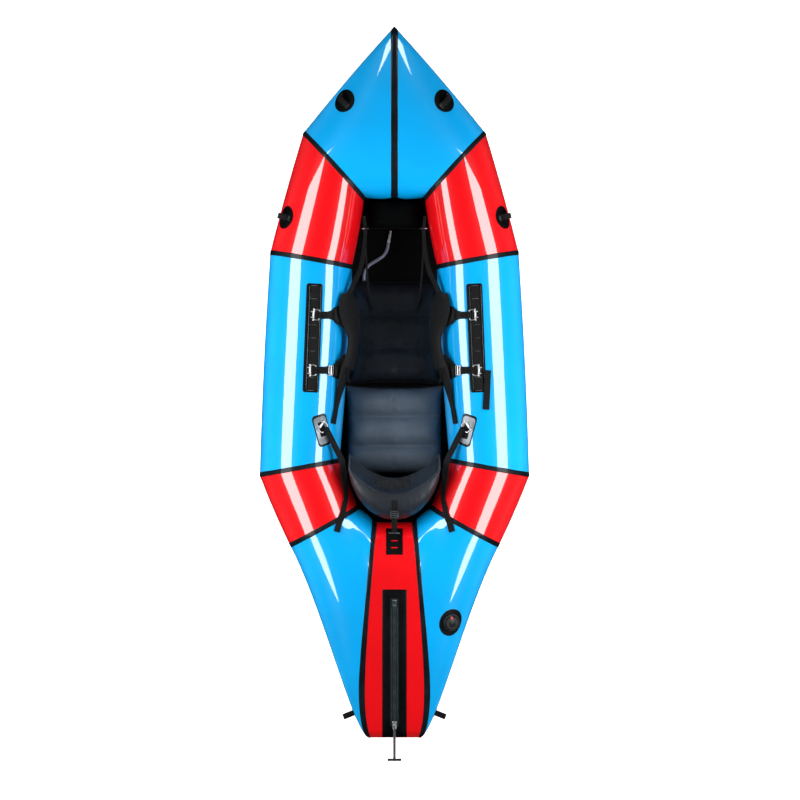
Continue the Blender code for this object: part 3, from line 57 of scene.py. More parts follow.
bl_info = {
    "name": "Packraft dress",
    "version": (1, 0, 0),
    "blender": (4, 5, 0),
    "location": "View3D > Sidebar > Packraft",
    "description": "Builds the visible pieces and finishes of an inflatable packraft on its packed frame",
    "category": "Object",
}


# The hull's sizes are the frame's own, in metres and degrees. The seams' rows run from the bow's centreline
# to the stern's: shares of half width and length, bearing, reach, the tube's radius, and the radius and
# height of the outer end where it differs from the tube's.
BASE = 0.0015
HALF_WIDTH = 0.4715
BOW_Y = 1.27425
HULL_LENGTH = 2.47
STERN_DEPTH = 0.752
KEEL_BELLY = 0.022
DECK_WIDTHS = (0.070, 0.061, 0.040, 8)
SEAM_PLACES = ((0, 0), (0.676, 0.1445), (0.921, 0.313), (1, 0.630), (0.78, 0.727), (0, 1), (0, 1))
SEAM_BEARINGS = (90, 46.8, 9.7, -10, -27.9, -90, -90)
SEAM_REACHES = (0.581, 0.31179, 0.290985, 0.28329, 0.27303, 0.752, 0.752)
SEAM_RADII = (0.1482, 0.14535, 0.1425, 0.1425, 0.1425, 0.13965, 0.13965)
SEAM_TIPS = ((0.022, 0.343), None, None, None, None, (0.030, 0.175), (0.030, 0.175))
PANEL_SWELLS = (0.025, 0.02, 0.03, 0.02, 0.02, 0)
STERN_CORNER = (0.144, 0.757, 0.121)
ARC_STEPS = 64
NUDGE = 0.002
# The gathers beside the seams: how soon they die away, per seam, their height and the two counts of ripples.
PUCKER_REACHES = ((1, 2, 3, 4), (9.0, 14.0, 11.0, 8.0))
PUCKER_HEIGHT = 0.00028
RIPPLES = (23, 37)
SIDES = ((-1, "left"), (1, "right"))

Seam = namedtuple("Seam", "x y bearing reach inner outer rise deck")
Shape = namedtuple("Shape", "points quads tris quad_uv tri_uv")


def make_seams():
    """The seven seams from the bow centreline to the stern centreline."""
    seams = []
    for index, (x_share, y_share) in enumerate(SEAM_PLACES):
        radius = SEAM_RADII[index]
        outer, rise = SEAM_TIPS[index] or (radius, BASE + radius)
        bearing = math.radians(SEAM_BEARINGS[index])
        x, y = x_share * HALF_WIDTH, BOW_Y - y_share * HULL_LENGTH
        deck = 6 - index if index >= 5 else 0
        seams.append(Seam(x, y, bearing, SEAM_REACHES[index], radius, outer, rise, deck))
    return seams


def by_length(points, shares):
    """Points at shares of a line's length: x and y interpolated over the running sum of its steps."""
    length = np.concatenate(([0], np.cumsum(np.hypot(*np.diff(points, axis=0).T))))
    return np.stack([np.interp(shares * length[-1], length, values) for values in points.T], -1)


def outline_table(seam):
    """A seam's section, as a band drawn tight round two upright discs: arc, straight, arc over the top, and
    arc, straight with a soft belly, arc underneath. Returns the upper and the lower half as point lists."""
    long = seam.outer != seam.inner
    apart = seam.reach - seam.inner - seam.outer if long else 0
    rise = seam.rise - BASE - seam.inner
    lean = math.atan2(rise, apart)
    spread = math.acos((seam.inner - seam.outer) / (math.hypot(apart, rise) + 1e-12))
    top, under = lean + spread, lean - spread

    def arc(x, z, radius, start, end):
        angles = np.linspace(start, end, ARC_STEPS)
        return np.stack((x + radius * np.cos(angles), z + radius * np.sin(angles)), -1)

    inner = (seam.inner, BASE + seam.inner, seam.inner)
    outer = (seam.inner + apart, seam.rise, seam.outer)
    upper = np.concatenate((arc(*inner, math.pi, top), arc(*outer, top, 0)))
    end, start = arc(*outer, 0, under), arc(*inner, under, -math.pi)
    share = np.linspace(0, 1, ARC_STEPS)[1:-1, None]
    belly = KEEL_BELLY if seam.bearing > math.pi / 3 else 0
    swell = belly * np.sin(math.pi * share) ** 2 * np.array((math.cos(under), math.sin(under)))
    keel = end[-1] + (start[0] - end[-1]) * share + swell
    stretch = np.array((seam.reach / (seam.inner + apart + seam.outer), 1))
    return upper * stretch, np.concatenate((end, keel, start)) * stretch


SEAMS = make_seams()
OUTLINES = [outline_table(seam) for seam in SEAMS]


def seam_points(index, turns):
    """Points of a seam: its outline laid along its bearing, back from its outer end."""
    seam, (upper, lower) = SEAMS[index], OUTLINES[index]
    turns = np.mod(turns, 1)
    above = by_length(upper, np.clip(2 * turns, 0, 1))
    below = by_length(lower, np.clip(2 * turns - 1, 0, 1))
    flat = np.where((turns < 0.5)[..., None], above, below)
    back, share = seam.reach - flat[..., 0], flat[..., 0] / seam.reach
    half, spread, taper, power = DECK_WIDTHS
    width = half + spread * share - taper * share**power
    x = seam.x - back * math.cos(seam.bearing) + seam.deck * width
    return np.stack((x, seam.y - back * math.sin(seam.bearing), flat[..., 1]), -1)


def hull(place, turn):
    """Points of the inflated hull: a straight mix of the two seams beside a place, swollen between them by a
    parabola away from the tube's middle, and at the stern drawn in and filled out by cubic easings."""
    place, turn = np.broadcast_arrays(np.asarray(place, float), np.asarray(turn, float))
    side = np.where(place < 0, -1.0, 1.0)
    along = np.abs(place)
    over = along > 6
    along = np.where(over, 12 - along, along)
    side = np.where(over, -side, side)
    first = np.clip(along.astype(int), 0, 5)
    share = along - first
    points = np.empty(turn.shape + (3,))
    for panel in range(6):
        here = first == panel
        if not here.any():
            continue
        mix = share[here][:, None]
        start, end = seam_points(panel, turn[here]), seam_points(panel + 1, turn[here])
        ends = np.array((0.0, 0.5))
        middle = (1 - mix) * seam_points(panel, ends).mean(0) + mix * seam_points(panel + 1, ends).mean(0)
        mixed = (1 - mix) * start + mix * end
        away = (mixed - middle) * PANEL_SWELLS[panel] * 4 * mix * (1 - mix)
        away[:, 2] = np.maximum(away[:, 2], 0)
        points[here] = mixed + away
    stern = (first == 4) * np.sin(math.pi * turn) ** 4
    ease_in, ease_out = share**3 - 2 * share**2 + share, share**3 - share**2
    tuck, fullness, waist = (value * STERN_DEPTH for value in STERN_CORNER)
    points[..., 0] += stern * (tuck * ease_out - waist * ease_in)
    points[..., 1] += stern * fullness * ease_out
    points[..., 0] *= side
    return points


def unit(vectors):
    """Vectors over their own lengths."""
    return vectors / np.maximum(np.linalg.norm(vectors, axis=-1, keepdims=True), 1e-12)


def hull_along(place, turn):
    """The hull's step per seam, as a central difference."""
    place = np.asarray(place, float)
    return (hull(place + NUDGE, turn) - hull(place - NUDGE, turn)) / (2 * NUDGE)


def hull_across(place, turn):
    """The hull's step per turn, as a central difference."""
    turn = np.asarray(turn, float)
    return (hull(place, turn + NUDGE) - hull(place, turn - NUDGE)) / (2 * NUDGE)


def hull_normal(place, turn):
    """The hull's outward normal: the cross product of its two steps."""
    return unit(np.cross(hull_along(place, turn), hull_across(place, turn)))


def pucker(place, turn):
    """Gathers beside the seams: two sines round the tube that die away with the distance from the seam."""
    along = np.abs(np.asarray(place, float))
    along = np.where(along > 6, 12 - along, along)
    nearest = np.clip(np.round(along), 1, 4)
    reach = np.interp(nearest, *PUCKER_REACHES)
    fade = np.exp(-np.abs(along - nearest) * reach) * (np.abs(along - nearest) < 0.5)
    coarse, fine = (2 * math.pi * count * turn for count in RIPPLES)
    ripple = np.sin(coarse + 2.1 * nearest) + 0.6 * np.sin(fine + nearest)
    inner = 0.35 + 0.65 * np.cos(2 * math.pi * (turn - 0.06)) ** 2
    return PUCKER_HEIGHT * fade * ripple * inner


def skin(place, turn, lift=0.0):
    """Points on the fabric, raised by lift along its normal."""
    place, turn = np.broadcast_arrays(np.asarray(place, float), np.asarray(turn, float))
    height = np.asarray(lift, float) + pucker(place, turn)
    return hull(place, turn) + height[..., None] * hull_normal(place, turn)


def local_steps(place, turn, toe):
    """Steps in place and turn for one metre along and one metre across, seen along the normal."""
    along, across = hull_along(place, turn), hull_across(place, turn)
    normal, ahead = unit(np.cross(along, across)), unit(along)
    aside = np.cross(normal, ahead)
    one = math.cos(toe) * ahead + math.sin(toe) * aside
    two = math.cos(toe) * aside - math.sin(toe) * ahead
    return np.linalg.lstsq(np.stack((along, across), -1), np.stack((one, two), -1), rcond=None)[0]


def settle(place, turn, flat, toe=0.0):
    """Places and turns of points so many metres along and across from a middle, found by Newton's steps."""
    steps = local_steps(place, turn, toe)
    both = np.stack((hull_along(place, turn), hull_across(place, turn)), -1)
    sight = np.linalg.inv(steps) @ np.linalg.pinv(both)
    flat = np.asarray(flat, float)
    found = np.array((place, turn)) + flat @ steps.T
    for _ in range(4):
        seen = (hull(found[..., 0], found[..., 1]) - hull(place, turn)) @ sight.T
        found = found + (flat - seen) @ steps.T
    return found[..., 0], found[..., 1]


def distances(points):
    """The running sum of the steps between points, from 0."""
    return np.concatenate(([0], np.cumsum(np.linalg.norm(np.diff(points, axis=0), axis=1))))


def cells(index):
    """The four corners of every cell of a grid of indexes."""
    return np.stack((index[:-1, :-1], index[:-1, 1:], index[1:, 1:], index[1:, :-1]), -1)


def grid_shape(points, across=None, along=None, ring=True, loop=False):
    """A surface through a grid of points, rows along and columns across. ring joins the last column to the
    first, loop the last row to the first, and open ends get a fan round their middle."""
    points = np.asarray(points, float)
    rows, columns = points.shape[:2]
    r = np.arange(rows if loop else rows - 1)[:, None]
    c = np.arange(columns if ring else columns - 1)[None, :]

    def corner(i, j):
        return (i % rows) * columns + j % columns

    quads = np.stack((corner(r, c), corner(r, c + 1), corner(r + 1, c + 1), corner(r + 1, c)), -1)
    quads = quads.reshape(-1, 4)
    across = distances(points[rows // 2]) if across is None else across
    along = distances(points.mean(1)) if along is None else along
    across = np.append(across, 2 * across[-1] - across[-2])
    along = np.append(along, 2 * along[-1] - along[-2])
    shifts = ((0, 0), (1, 0), (1, 1), (0, 1))
    corners = [np.stack(np.broadcast_arrays(across[c + a], along[r + b]), -1) for a, b in shifts]
    quad_uv = np.stack(corners, -2).reshape(-1, 4, 2)
    flat = points.reshape(-1, 3)
    tris, tri_uv = np.empty((0, 3), int), np.empty((0, 3, 2))
    if ring and not loop:
        middles = np.stack((points[0].mean(0), points[-1].mean(0)))
        count = len(flat)
        j = np.arange(columns)
        near = np.stack((np.full(columns, count), (j + 1) % columns, j), -1)
        far = np.stack((np.full(columns, count + 1), j, (j + 1) % columns), -1)
        far[:, 1:] += (rows - 1) * columns
        tris = np.concatenate((near, far))
        flat = np.concatenate((flat, middles))
        tri_uv = np.zeros((len(tris), 3, 2))
    return outward(Shape(flat, quads, tris, quad_uv, tri_uv))


def outward(shape):
    """The shape with its faces turned outwards: a closed one has a positive volume then."""
    triangles = np.concatenate((shape.quads[:, [0, 1, 2]], shape.quads[:, [0, 2, 3]], shape.tris))
    a, b, c = (shape.points[triangles[:, k]] for k in range(3))
    if np.einsum("ij,ij->", a - shape.points[0], np.cross(b - shape.points[0], c - shape.points[0])) >= 0:
        return shape
    return Shape(shape.points, *(values[:, ::-1] for values in shape[1:]))


def quad_shape(points, quads, flat):
    """A shape of the points that its quads use, numbered anew; flat gives every point's UV in metres."""
    used = np.unique(quads)
    renumber = np.zeros(len(points), int)
    renumber[used] = np.arange(len(used))
    no_tris, no_uv = np.empty((0, 3), int), np.empty((0, 3, 2))
    return outward(Shape(points[used], renumber[quads], no_tris, flat[quads], no_uv))


def together(shapes):
    """Several shapes as one, the later ones' corners counted on from the earlier ones' points."""
    starts = np.cumsum([0] + [len(shape.points) for shape in shapes])
    moved = [Shape(s.points, s.quads + start, s.tris + start, *s[3:]) for s, start in zip(shapes, starts)]
    return Shape(*(np.concatenate(values) for values in zip(*moved)))


def add_piece(name, shapes, key, node=None, body="hull", sharp_deg=40):
    """A piece from one or more shapes in the finish of that key, riding on a body and standing for a CAD
    node where one is named."""
    shape = together(shapes if isinstance(shapes, list) else [shapes])
    mesh = bpy.data.meshes.new(name)
    mesh.from_pydata(shape.points, [], shape.quads.tolist() + shape.tris.tolist())
    uv = mesh.uv_layers.new(name="metres")
    values = np.concatenate((shape.quad_uv.reshape(-1, 2), shape.tri_uv.reshape(-1, 2)))
    uv.data.foreach_set("uv", values.astype(np.float32).ravel())
    mesh.shade_smooth()
    mesh.set_sharp_from_angle(angle=math.radians(sharp_deg))
    mesh.materials.append(finish(key))
    piece = bpy.data.objects.new(name, mesh)
    bpy.context.scene.collection.objects.link(piece)
    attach(piece, body)
    if node:
        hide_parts(node)
    return piece


def smooth_route(stations, steps):
    """Catmull-Rom curve through rows of values."""
    rows = np.asarray(stations, float)
    padded = np.concatenate((2 * rows[:1] - rows[1:2], rows, 2 * rows[-1:] - rows[-2:-1]))
    share = (np.arange(steps) / steps)[:, None]
    pieces = []
    for index in range(1, len(padded) - 2):
        before, one, two, after = padded[index - 1 : index + 3]
        pieces.append(
            one + share * (two - before) / 2 + share**2 * (before - 2.5 * one + 2 * two - after / 2)
            + share**3 * (1.5 * one - 1.5 * two + (after - before) / 2)
        )
    return np.concatenate(pieces + [rows[-1:]])


# The section of webbing and pads, once round: shares of the width and of half the thickness.
BAND = np.array(
    [(-0.5, 0), (-0.485, -0.8), (-0.25, -1), (0, -1), (0.25, -1), (0.485, -0.8)]
    + [(0.5, 0), (0.485, 0.8), (0.25, 1), (0, 1), (-0.25, 1), (-0.485, 0.8)]
)


def band(centres, normals, widths, thickness, crown=0.0):
    """Webbing or padding: a flat section with round edges carried along a line of points, its face square to
    the normals, its middle raised by crown."""
    centres, normals = np.asarray(centres, float), np.asarray(normals, float)
    tangents = unit(np.gradient(centres, axis=0))
    sides = unit(np.cross(normals, tangents))
    normals = np.cross(tangents, sides)
    widths = np.broadcast_to(np.asarray(widths, float), len(centres))
    across, up = BAND.T
    lift = up * thickness / 2 + crown * (1 - (2 * across) ** 2) * (up > -0.5)
    points = (
        centres[:, None] + across[None, :, None] * widths[:, None, None] * sides[:, None]
        + lift[None, :, None] * normals[:, None]
    )
    return grid_shape(points, across=across * widths.mean())


def web(rows, width, thickness, part=slice(None), raised=0.0, crown=0.0):
    """Webbing along rows of points and face normals, or along a part of them, raised along the normals."""
    rows = rows[part]
    return band(rows[:, :3] + raised * rows[:, 3:6], rows[:, 3:6], width, thickness, crown)


def rod(start, end, radii, sides=16):
    """A turned rod between two points: a circle carried along the axis, its radius from rows of the share of
    the length and the radius there."""
    axis = unit(end - start)
    aside = unit(np.cross(axis, np.eye(3)[np.abs(axis).argmin()]))
    aloft = np.cross(axis, aside)
    shares, sizes = np.transpose(radii)
    angles = np.arange(sides) / sides * 2 * math.pi
    circle = np.cos(angles)[:, None] * aside + np.sin(angles)[:, None] * aloft
    return grid_shape((start + shares[:, None] * (end - start))[:, None] + sizes[:, None, None] * circle)


def wire(points, radius, sides=10, closed=False):
    """Round wire along a line of points: a circle square to the line's direction at each of them."""
    points = np.asarray(points, float)
    if closed:
        tangents = unit(np.roll(points, -1, 0) - np.roll(points, 1, 0))
    else:
        tangents = unit(np.gradient(points, axis=0))
    helper = unit(np.cross(points - points.mean(0), np.roll(points, 3, 0) - points.mean(0)).sum(0))
    if not np.isfinite(helper).all() or np.linalg.norm(helper) < 0.5:
        helper = np.eye(3)[np.abs(tangents[0]).argmin()]
    aside = unit(np.cross(tangents, helper))
    aloft = np.cross(tangents, aside)
    angles = np.arange(sides) / sides * 2 * math.pi
    rings = points[:, None] + radius * (
        np.cos(angles)[None, :, None] * aside[:, None] + np.sin(angles)[None, :, None] * aloft[:, None]
    )
    return grid_shape(rings, loop=closed)


def rounded_box(length, width, radius, steps=6):
    """Outline of a rectangle with round corners: four quarter circles, counter-clockwise."""
    quarter = np.repeat(np.arange(4), steps + 1)
    angles = (quarter + np.tile(np.arange(steps + 1), 4) / steps) * math.pi / 2
    signs = np.array(((1, 1), (-1, 1), (-1, -1), (1, -1)))[quarter]
    middles = signs * (length / 2 - radius, width / 2 - radius)
    return middles + radius * np.stack((np.cos(angles), np.sin(angles)), -1)


def even_box(length, width, radius, step, corner_steps=6):
    """A rounded rectangle with its points evenly spaced by about step."""
    outline = rounded_box(length, width, radius, corner_steps)
    closed = np.concatenate((outline, outline[:1]))
    length = np.hypot(*np.diff(closed, axis=0).T).sum()
    count = max(8, round(length / step))
    return by_length(closed, np.arange(count) / count)


def circle(radius, count=48):
    """A circle of count points."""
    angles = np.arange(count) / count * 2 * math.pi
    return radius * np.stack((np.cos(angles), np.sin(angles)), -1)


def patch(place, turn, outline, toe, low, thickness, rings=7):
    """A thin patch on a tube: its outline shrunk ring by ring to its middle and laid on the fabric, above
    and below, with a narrow slope at its edge."""
    out = np.append(np.linspace(0.02, 0.95, rings), 0.985)
    shares = np.concatenate((out, (1.0,), out[::-1]))
    lifts = np.repeat((low + thickness, low + thickness / 2, low), (rings + 1, 1, rings + 1))
    flat = shares[:, None, None] * np.asarray(outline)[None]
    places, turns = settle(place, turn, flat, toe)
    shape = grid_shape(skin(places, turns, lifts[:, None]))
    uv = np.concatenate((flat.reshape(-1, 2), ((0, 0), (0, 0))))
    return Shape(shape.points, shape.quads, shape.tris, uv[shape.quads], uv[shape.tris])


# Shares of a stitch's pitch and the heights of its arch there.
STITCH_SHARES = np.array((0.12, 0.3, 0.5, 0.7, 0.88))
STITCH_ARCH = np.array((-0.0002, 0.0002, 0.0003, 0.0002, -0.0002))


def stitches(place, turn, start, end, toe, lift, pitch, radius=0.00035):
    """A row of stitches on a tube: short round threads between two points of a patch, each a small arch."""
    start, end = np.asarray(start, float), np.asarray(end, float)
    count = max(1, round(np.linalg.norm(end - start) / pitch))
    share = (np.arange(count)[:, None] + STITCH_SHARES) / count
    flat = start + share[..., None] * (end - start)
    places, turns = settle(place, turn, flat, toe)
    return [wire(line, radius, 5) for line in skin(places, turns, lift + STITCH_ARCH)]


def on_fabric(places, turns, lift):
    """Rows of points on the hull, raised by lift, each with its normal."""
    return np.column_stack((skin(places, turns, lift), hull_normal(places, turns)))


def tube_frame(place, turn, lift=0.0, toe=0.0):
    """A frame on the hull: X across the tube, outwards, and Z along its normal, turned by toe about Z."""
    origin, normal = skin(place, turn, lift), hull_normal(place, turn)
    x = unit(hull_across(place, turn))
    y = np.cross(normal, x)
    x, y = math.cos(toe) * x + math.sin(toe) * y, math.cos(toe) * y - math.sin(toe) * x
    return np.column_stack((x, y, normal)), origin


def placed(frame_at, points):
    """Points of a local shape in the frame's axes, moved to its origin."""
    axes, origin = frame_at
    return np.asarray(points, float) @ axes.T + origin


def bent_ring(frame_at, outline, radius, sides=8):
    """Wire bent to a closed outline in a frame's XY plane."""
    points = np.column_stack((outline, np.zeros(len(outline))))
    return wire(placed(frame_at, points), radius, sides, closed=True)


def turned(frame_at, profile, sides, grips=1, loop=False):
    """A turned shape: rows of radius and height carried round the frame's Z, each radius times its grip."""
    angles = np.arange(sides) / sides * 2 * math.pi
    radius, height = profile[:, :1] * grips, profile[:, 1:]
    local = np.stack(np.broadcast_arrays(radius * np.cos(angles), radius * np.sin(angles), height), -1)
    return grid_shape(placed(frame_at, local), loop=loop)


def block(frame_at, low, high, round_by=0.0006):
    """A small moulded block: a rounded rectangle carried up, drawn in at its foot and its top."""
    low, high = np.asarray(low, float), np.asarray(high, float)
    size, middle = high - low, (low + high) / 2
    by = min(round_by, size.min() / 3)
    outline = rounded_box(size[0], size[1], min(size[0], size[1]) / 4, steps=3)
    levels = ((by, 0), (0, by), (0, size[2] - by), (by, size[2]))
    rings = []
    for inset, height in levels:
        ring = outline * (1 - 2 * inset / size[:2])
        rings.append(np.column_stack((ring + middle[:2], np.full(len(ring), low[2] + height))))
    return grid_shape(placed(frame_at, np.stack(rings)))


def linear(hex_colour):
    """A linear RGBA colour from an sRGB hex value."""
    values = [int(hex_colour[i : i + 2], 16) / 255 for i in (1, 3, 5)]
    return tuple(v / 12.92 if v <= 0.04045 else ((v + 0.055) / 1.055) ** 2.4 for v in values) + (1.0,)


def hex_of(colour, darker=1.0):
    """The sRGB hex value of a linear colour, darkened by a factor in sRGB."""
    values = np.clip(colour[:3], 0, 1)
    encoded = np.where(values <= 0.0031308, values * 12.92, 1.055 * values ** (1 / 2.4) - 0.055)
    return "#" + "".join(f"{round(value * darker * 255):02X}" for value in encoded)


def add_node(tree, kind, inputs=None, stops=(), **settings):
    """A node with its settings, its inputs' values, the links to other nodes' outputs and a ramp's stops."""
    node = tree.nodes.new(kind)
    for name, value in settings.items():
        setattr(node, name, value)
    for key, value in (inputs or {}).items():
        if isinstance(value, bpy.types.NodeSocket):
            tree.links.new(value, node.inputs[key])
        else:
            node.inputs[key].default_value = value
    for index, (position, hex_colour) in enumerate(stops):
        node.color_ramp.elements[index].position = position
        node.color_ramp.elements[index].color = linear(hex_colour)
    return node


def woven(tree, pitches):
    """Height of a plain weave: a sine across times a sine along, by the piece's own UV map in metres. A
    pitch of None leaves its sine out."""
    metres = add_node(tree, "ShaderNodeUVMap", uv_map="metres").outputs["UV"]
    split = add_node(tree, "ShaderNodeSeparateXYZ", {"Vector": metres})
    height = None
    for axis, pitch in zip("XY", pitches):
        if pitch is None:
            continue
        angle = {0: split.outputs[axis], 1: 2 * math.pi / pitch}
        scaled = add_node(tree, "ShaderNodeMath", angle, operation="MULTIPLY")
        wave = add_node(tree, "ShaderNodeMath", {0: scaled.outputs[0]}, operation="SINE").outputs[0]
        if height is not None:
            wave = add_node(tree, "ShaderNodeMath", {0: height, 1: wave}, operation="MULTIPLY").outputs[0]
        height = wave
    return height


def new_material(name, hex_colour, roughness, tint=None, relief=(), **shader_inputs):
    """A material, its tree, its shader and the heights of its relief. tint, a darker colour and a scale,
    lets the colour wander between the two by noise. Each row of relief is a pattern and its depth in metres,
    bumped on top of the row before: the inputs of a noise, or the two pitches of a weave."""
    material = bpy.data.materials.new(name)
    material.use_nodes = True
    tree = material.node_tree
    shader = tree.nodes["Principled BSDF"]
    shader_inputs.update(Base_Color=linear(hex_colour), Roughness=roughness)
    for key, value in shader_inputs.items():
        shader.inputs[key.replace("_", " ")].default_value = value
    place = add_node(tree, "ShaderNodeTexCoord").outputs["Object"]
    if tint:
        noise = add_node(tree, "ShaderNodeTexNoise", {"Vector": place, "Scale": tint[1], "Detail": 4.0})
        stops = ((0.35, tint[0]), (0.65, hex_colour))
        ramp = add_node(tree, "ShaderNodeValToRGB", {"Fac": noise.outputs["Fac"]}, stops)
        tree.links.new(ramp.outputs["Color"], shader.inputs["Base Color"])
    heights = []
    bumps = {}
    for pattern, depth in relief:
        if isinstance(pattern, dict):
            noise = add_node(tree, "ShaderNodeTexNoise", {"Vector": place, **pattern})
            heights.append(noise.outputs["Fac"])
        else:
            heights.append(woven(tree, pattern))
        values = {"Height": heights[-1], "Distance": depth, "Strength": 1.0}
        bumps["Normal"] = add_node(tree, "ShaderNodeBump", values | bumps).outputs["Normal"]
    if bumps:
        tree.links.new(bumps["Normal"], shader.inputs["Normal"])
    return material, tree, shader, heights


def film_coated_nylon(name, hex_dark, hex_light):
    """Nylon with a polyurethane film fused on: deep even colour under a clear glossy coat that mirrors the
    lamps with crisp edges, while the weave below only softens it. The weave is drawn at 1.6 mm, four times
    its real pitch, to show at all."""
    relief = (({"Scale": 9.0, "Detail": 2.0}, 0.0016), ((0.0016, 0.0016), 0.00002))
    return new_material(
        name, hex_light, 0.34, (hex_dark, 2.2), relief, IOR=1.5, Specular_IOR_Level=0.2, Coat_Weight=1.0,
        Coat_Roughness=0.03, Coat_IOR=1.95,
    )[0]


def taped_film(name, hex_dark, hex_light):
    """Heat-sealed seam tape: black film-coated fabric, glossy, with faint ripples where the iron went."""
    relief = (({"Scale": 60.0, "Detail": 3.0}, 0.0006), ((0.0018, 0.0018), 0.00006))
    return new_material(
        name, hex_light, 0.45, (hex_dark, 14.0), relief, IOR=1.5, Specular_IOR_Level=0.12, Coat_Weight=0.25,
        Coat_Roughness=0.12,
    )[0]


def webbing(name, hex_dark, hex_light, pitch=0.0022):
    """Woven nylon webbing: matt, with ribs across and a fine line of threads along, drawn at 2.2 mm where
    the real ribs stand 1.2 mm apart."""
    relief = (((None, pitch / 2), 0.0002), ((pitch, pitch / 2), 0.0004))
    material, tree, shader, heights = new_material(
        name, hex_light, 0.7, None, relief, IOR=1.53, Specular_IOR_Level=0.2, Sheen_Weight=0.05,
        Sheen_Roughness=0.4,
    )
    mask = add_node(tree, "ShaderNodeMath", {0: heights[-1], 1: 0.5, 2: 0.5}, operation="MULTIPLY_ADD")
    stops = ((0, hex_dark), (1, hex_light))
    ramp = add_node(tree, "ShaderNodeValToRGB", {"Fac": mask.outputs[0]}, stops)
    tree.links.new(ramp.outputs["Color"], shader.inputs["Base Color"])
    return material


def cushion_nylon(name, hex_dark, hex_light, roughness, coat, specular):
    """Light film-coated nylon over air: satin, with broad soft sheen and slow shallow creases."""
    relief = (({"Scale": 14.0, "Detail": 2.0, "Distortion": 0.4}, 0.0012), ((0.0016, 0.0016), 0.00006))
    return new_material(
        name, hex_light, roughness, (hex_dark, 8.0), relief, IOR=1.5, Specular_IOR_Level=specular,
        Coat_Weight=coat, Coat_Roughness=0.3,
    )[0]


def polished_steel(name, hex_colour):
    """Bent and tumbled stainless steel: bright, with soft scratches."""
    relief = (({"Scale": 420.0, "Detail": 5.0, "Roughness": 0.7}, 0.00008),)
    material, tree, shader, heights = new_material(name, hex_colour, 0.34, None, relief, Metallic=1.0)
    rough = add_node(tree, "ShaderNodeMapRange", {"Value": heights[0], "To Min": 0.24, "To Max": 0.46})
    tree.links.new(rough.outputs["Result"], shader.inputs["Roughness"])
    return material


def moulded_rubber(name, hex_dark, hex_light, roughness=0.5):
    """Injection-moulded TPU: satin with a fine spark-eroded grain, drawn at about 1 mm."""
    relief = (({"Scale": 900.0, "Detail": 2.0}, 0.00012),)
    return new_material(name, hex_light, roughness, (hex_dark, 40.0), relief, IOR=1.5)[0]


def clear_tube(name, hex_colour, transmission):
    """Drawn PVC tube: milky and greyish, partly see-through, glossy on its skin."""
    relief = (({"Scale": 30.0, "Detail": 3.0}, 0.0004),)
    return new_material(name, hex_colour, 0.18, None, relief, IOR=1.53, Transmission_Weight=transmission)[0]


def studio_acrylic(name, hex_dark, hex_light):
    """White acrylic of a light table: matt, evenly lit from below, so that no shadow darkens it."""
    return new_material(
        name, hex_light, 0.9, (hex_dark, 0.8), Emission_Color=(1, 1, 1, 1), Emission_Strength=0.8
    )[0]


CHARCOAL = "coated_nylon_charcoal"
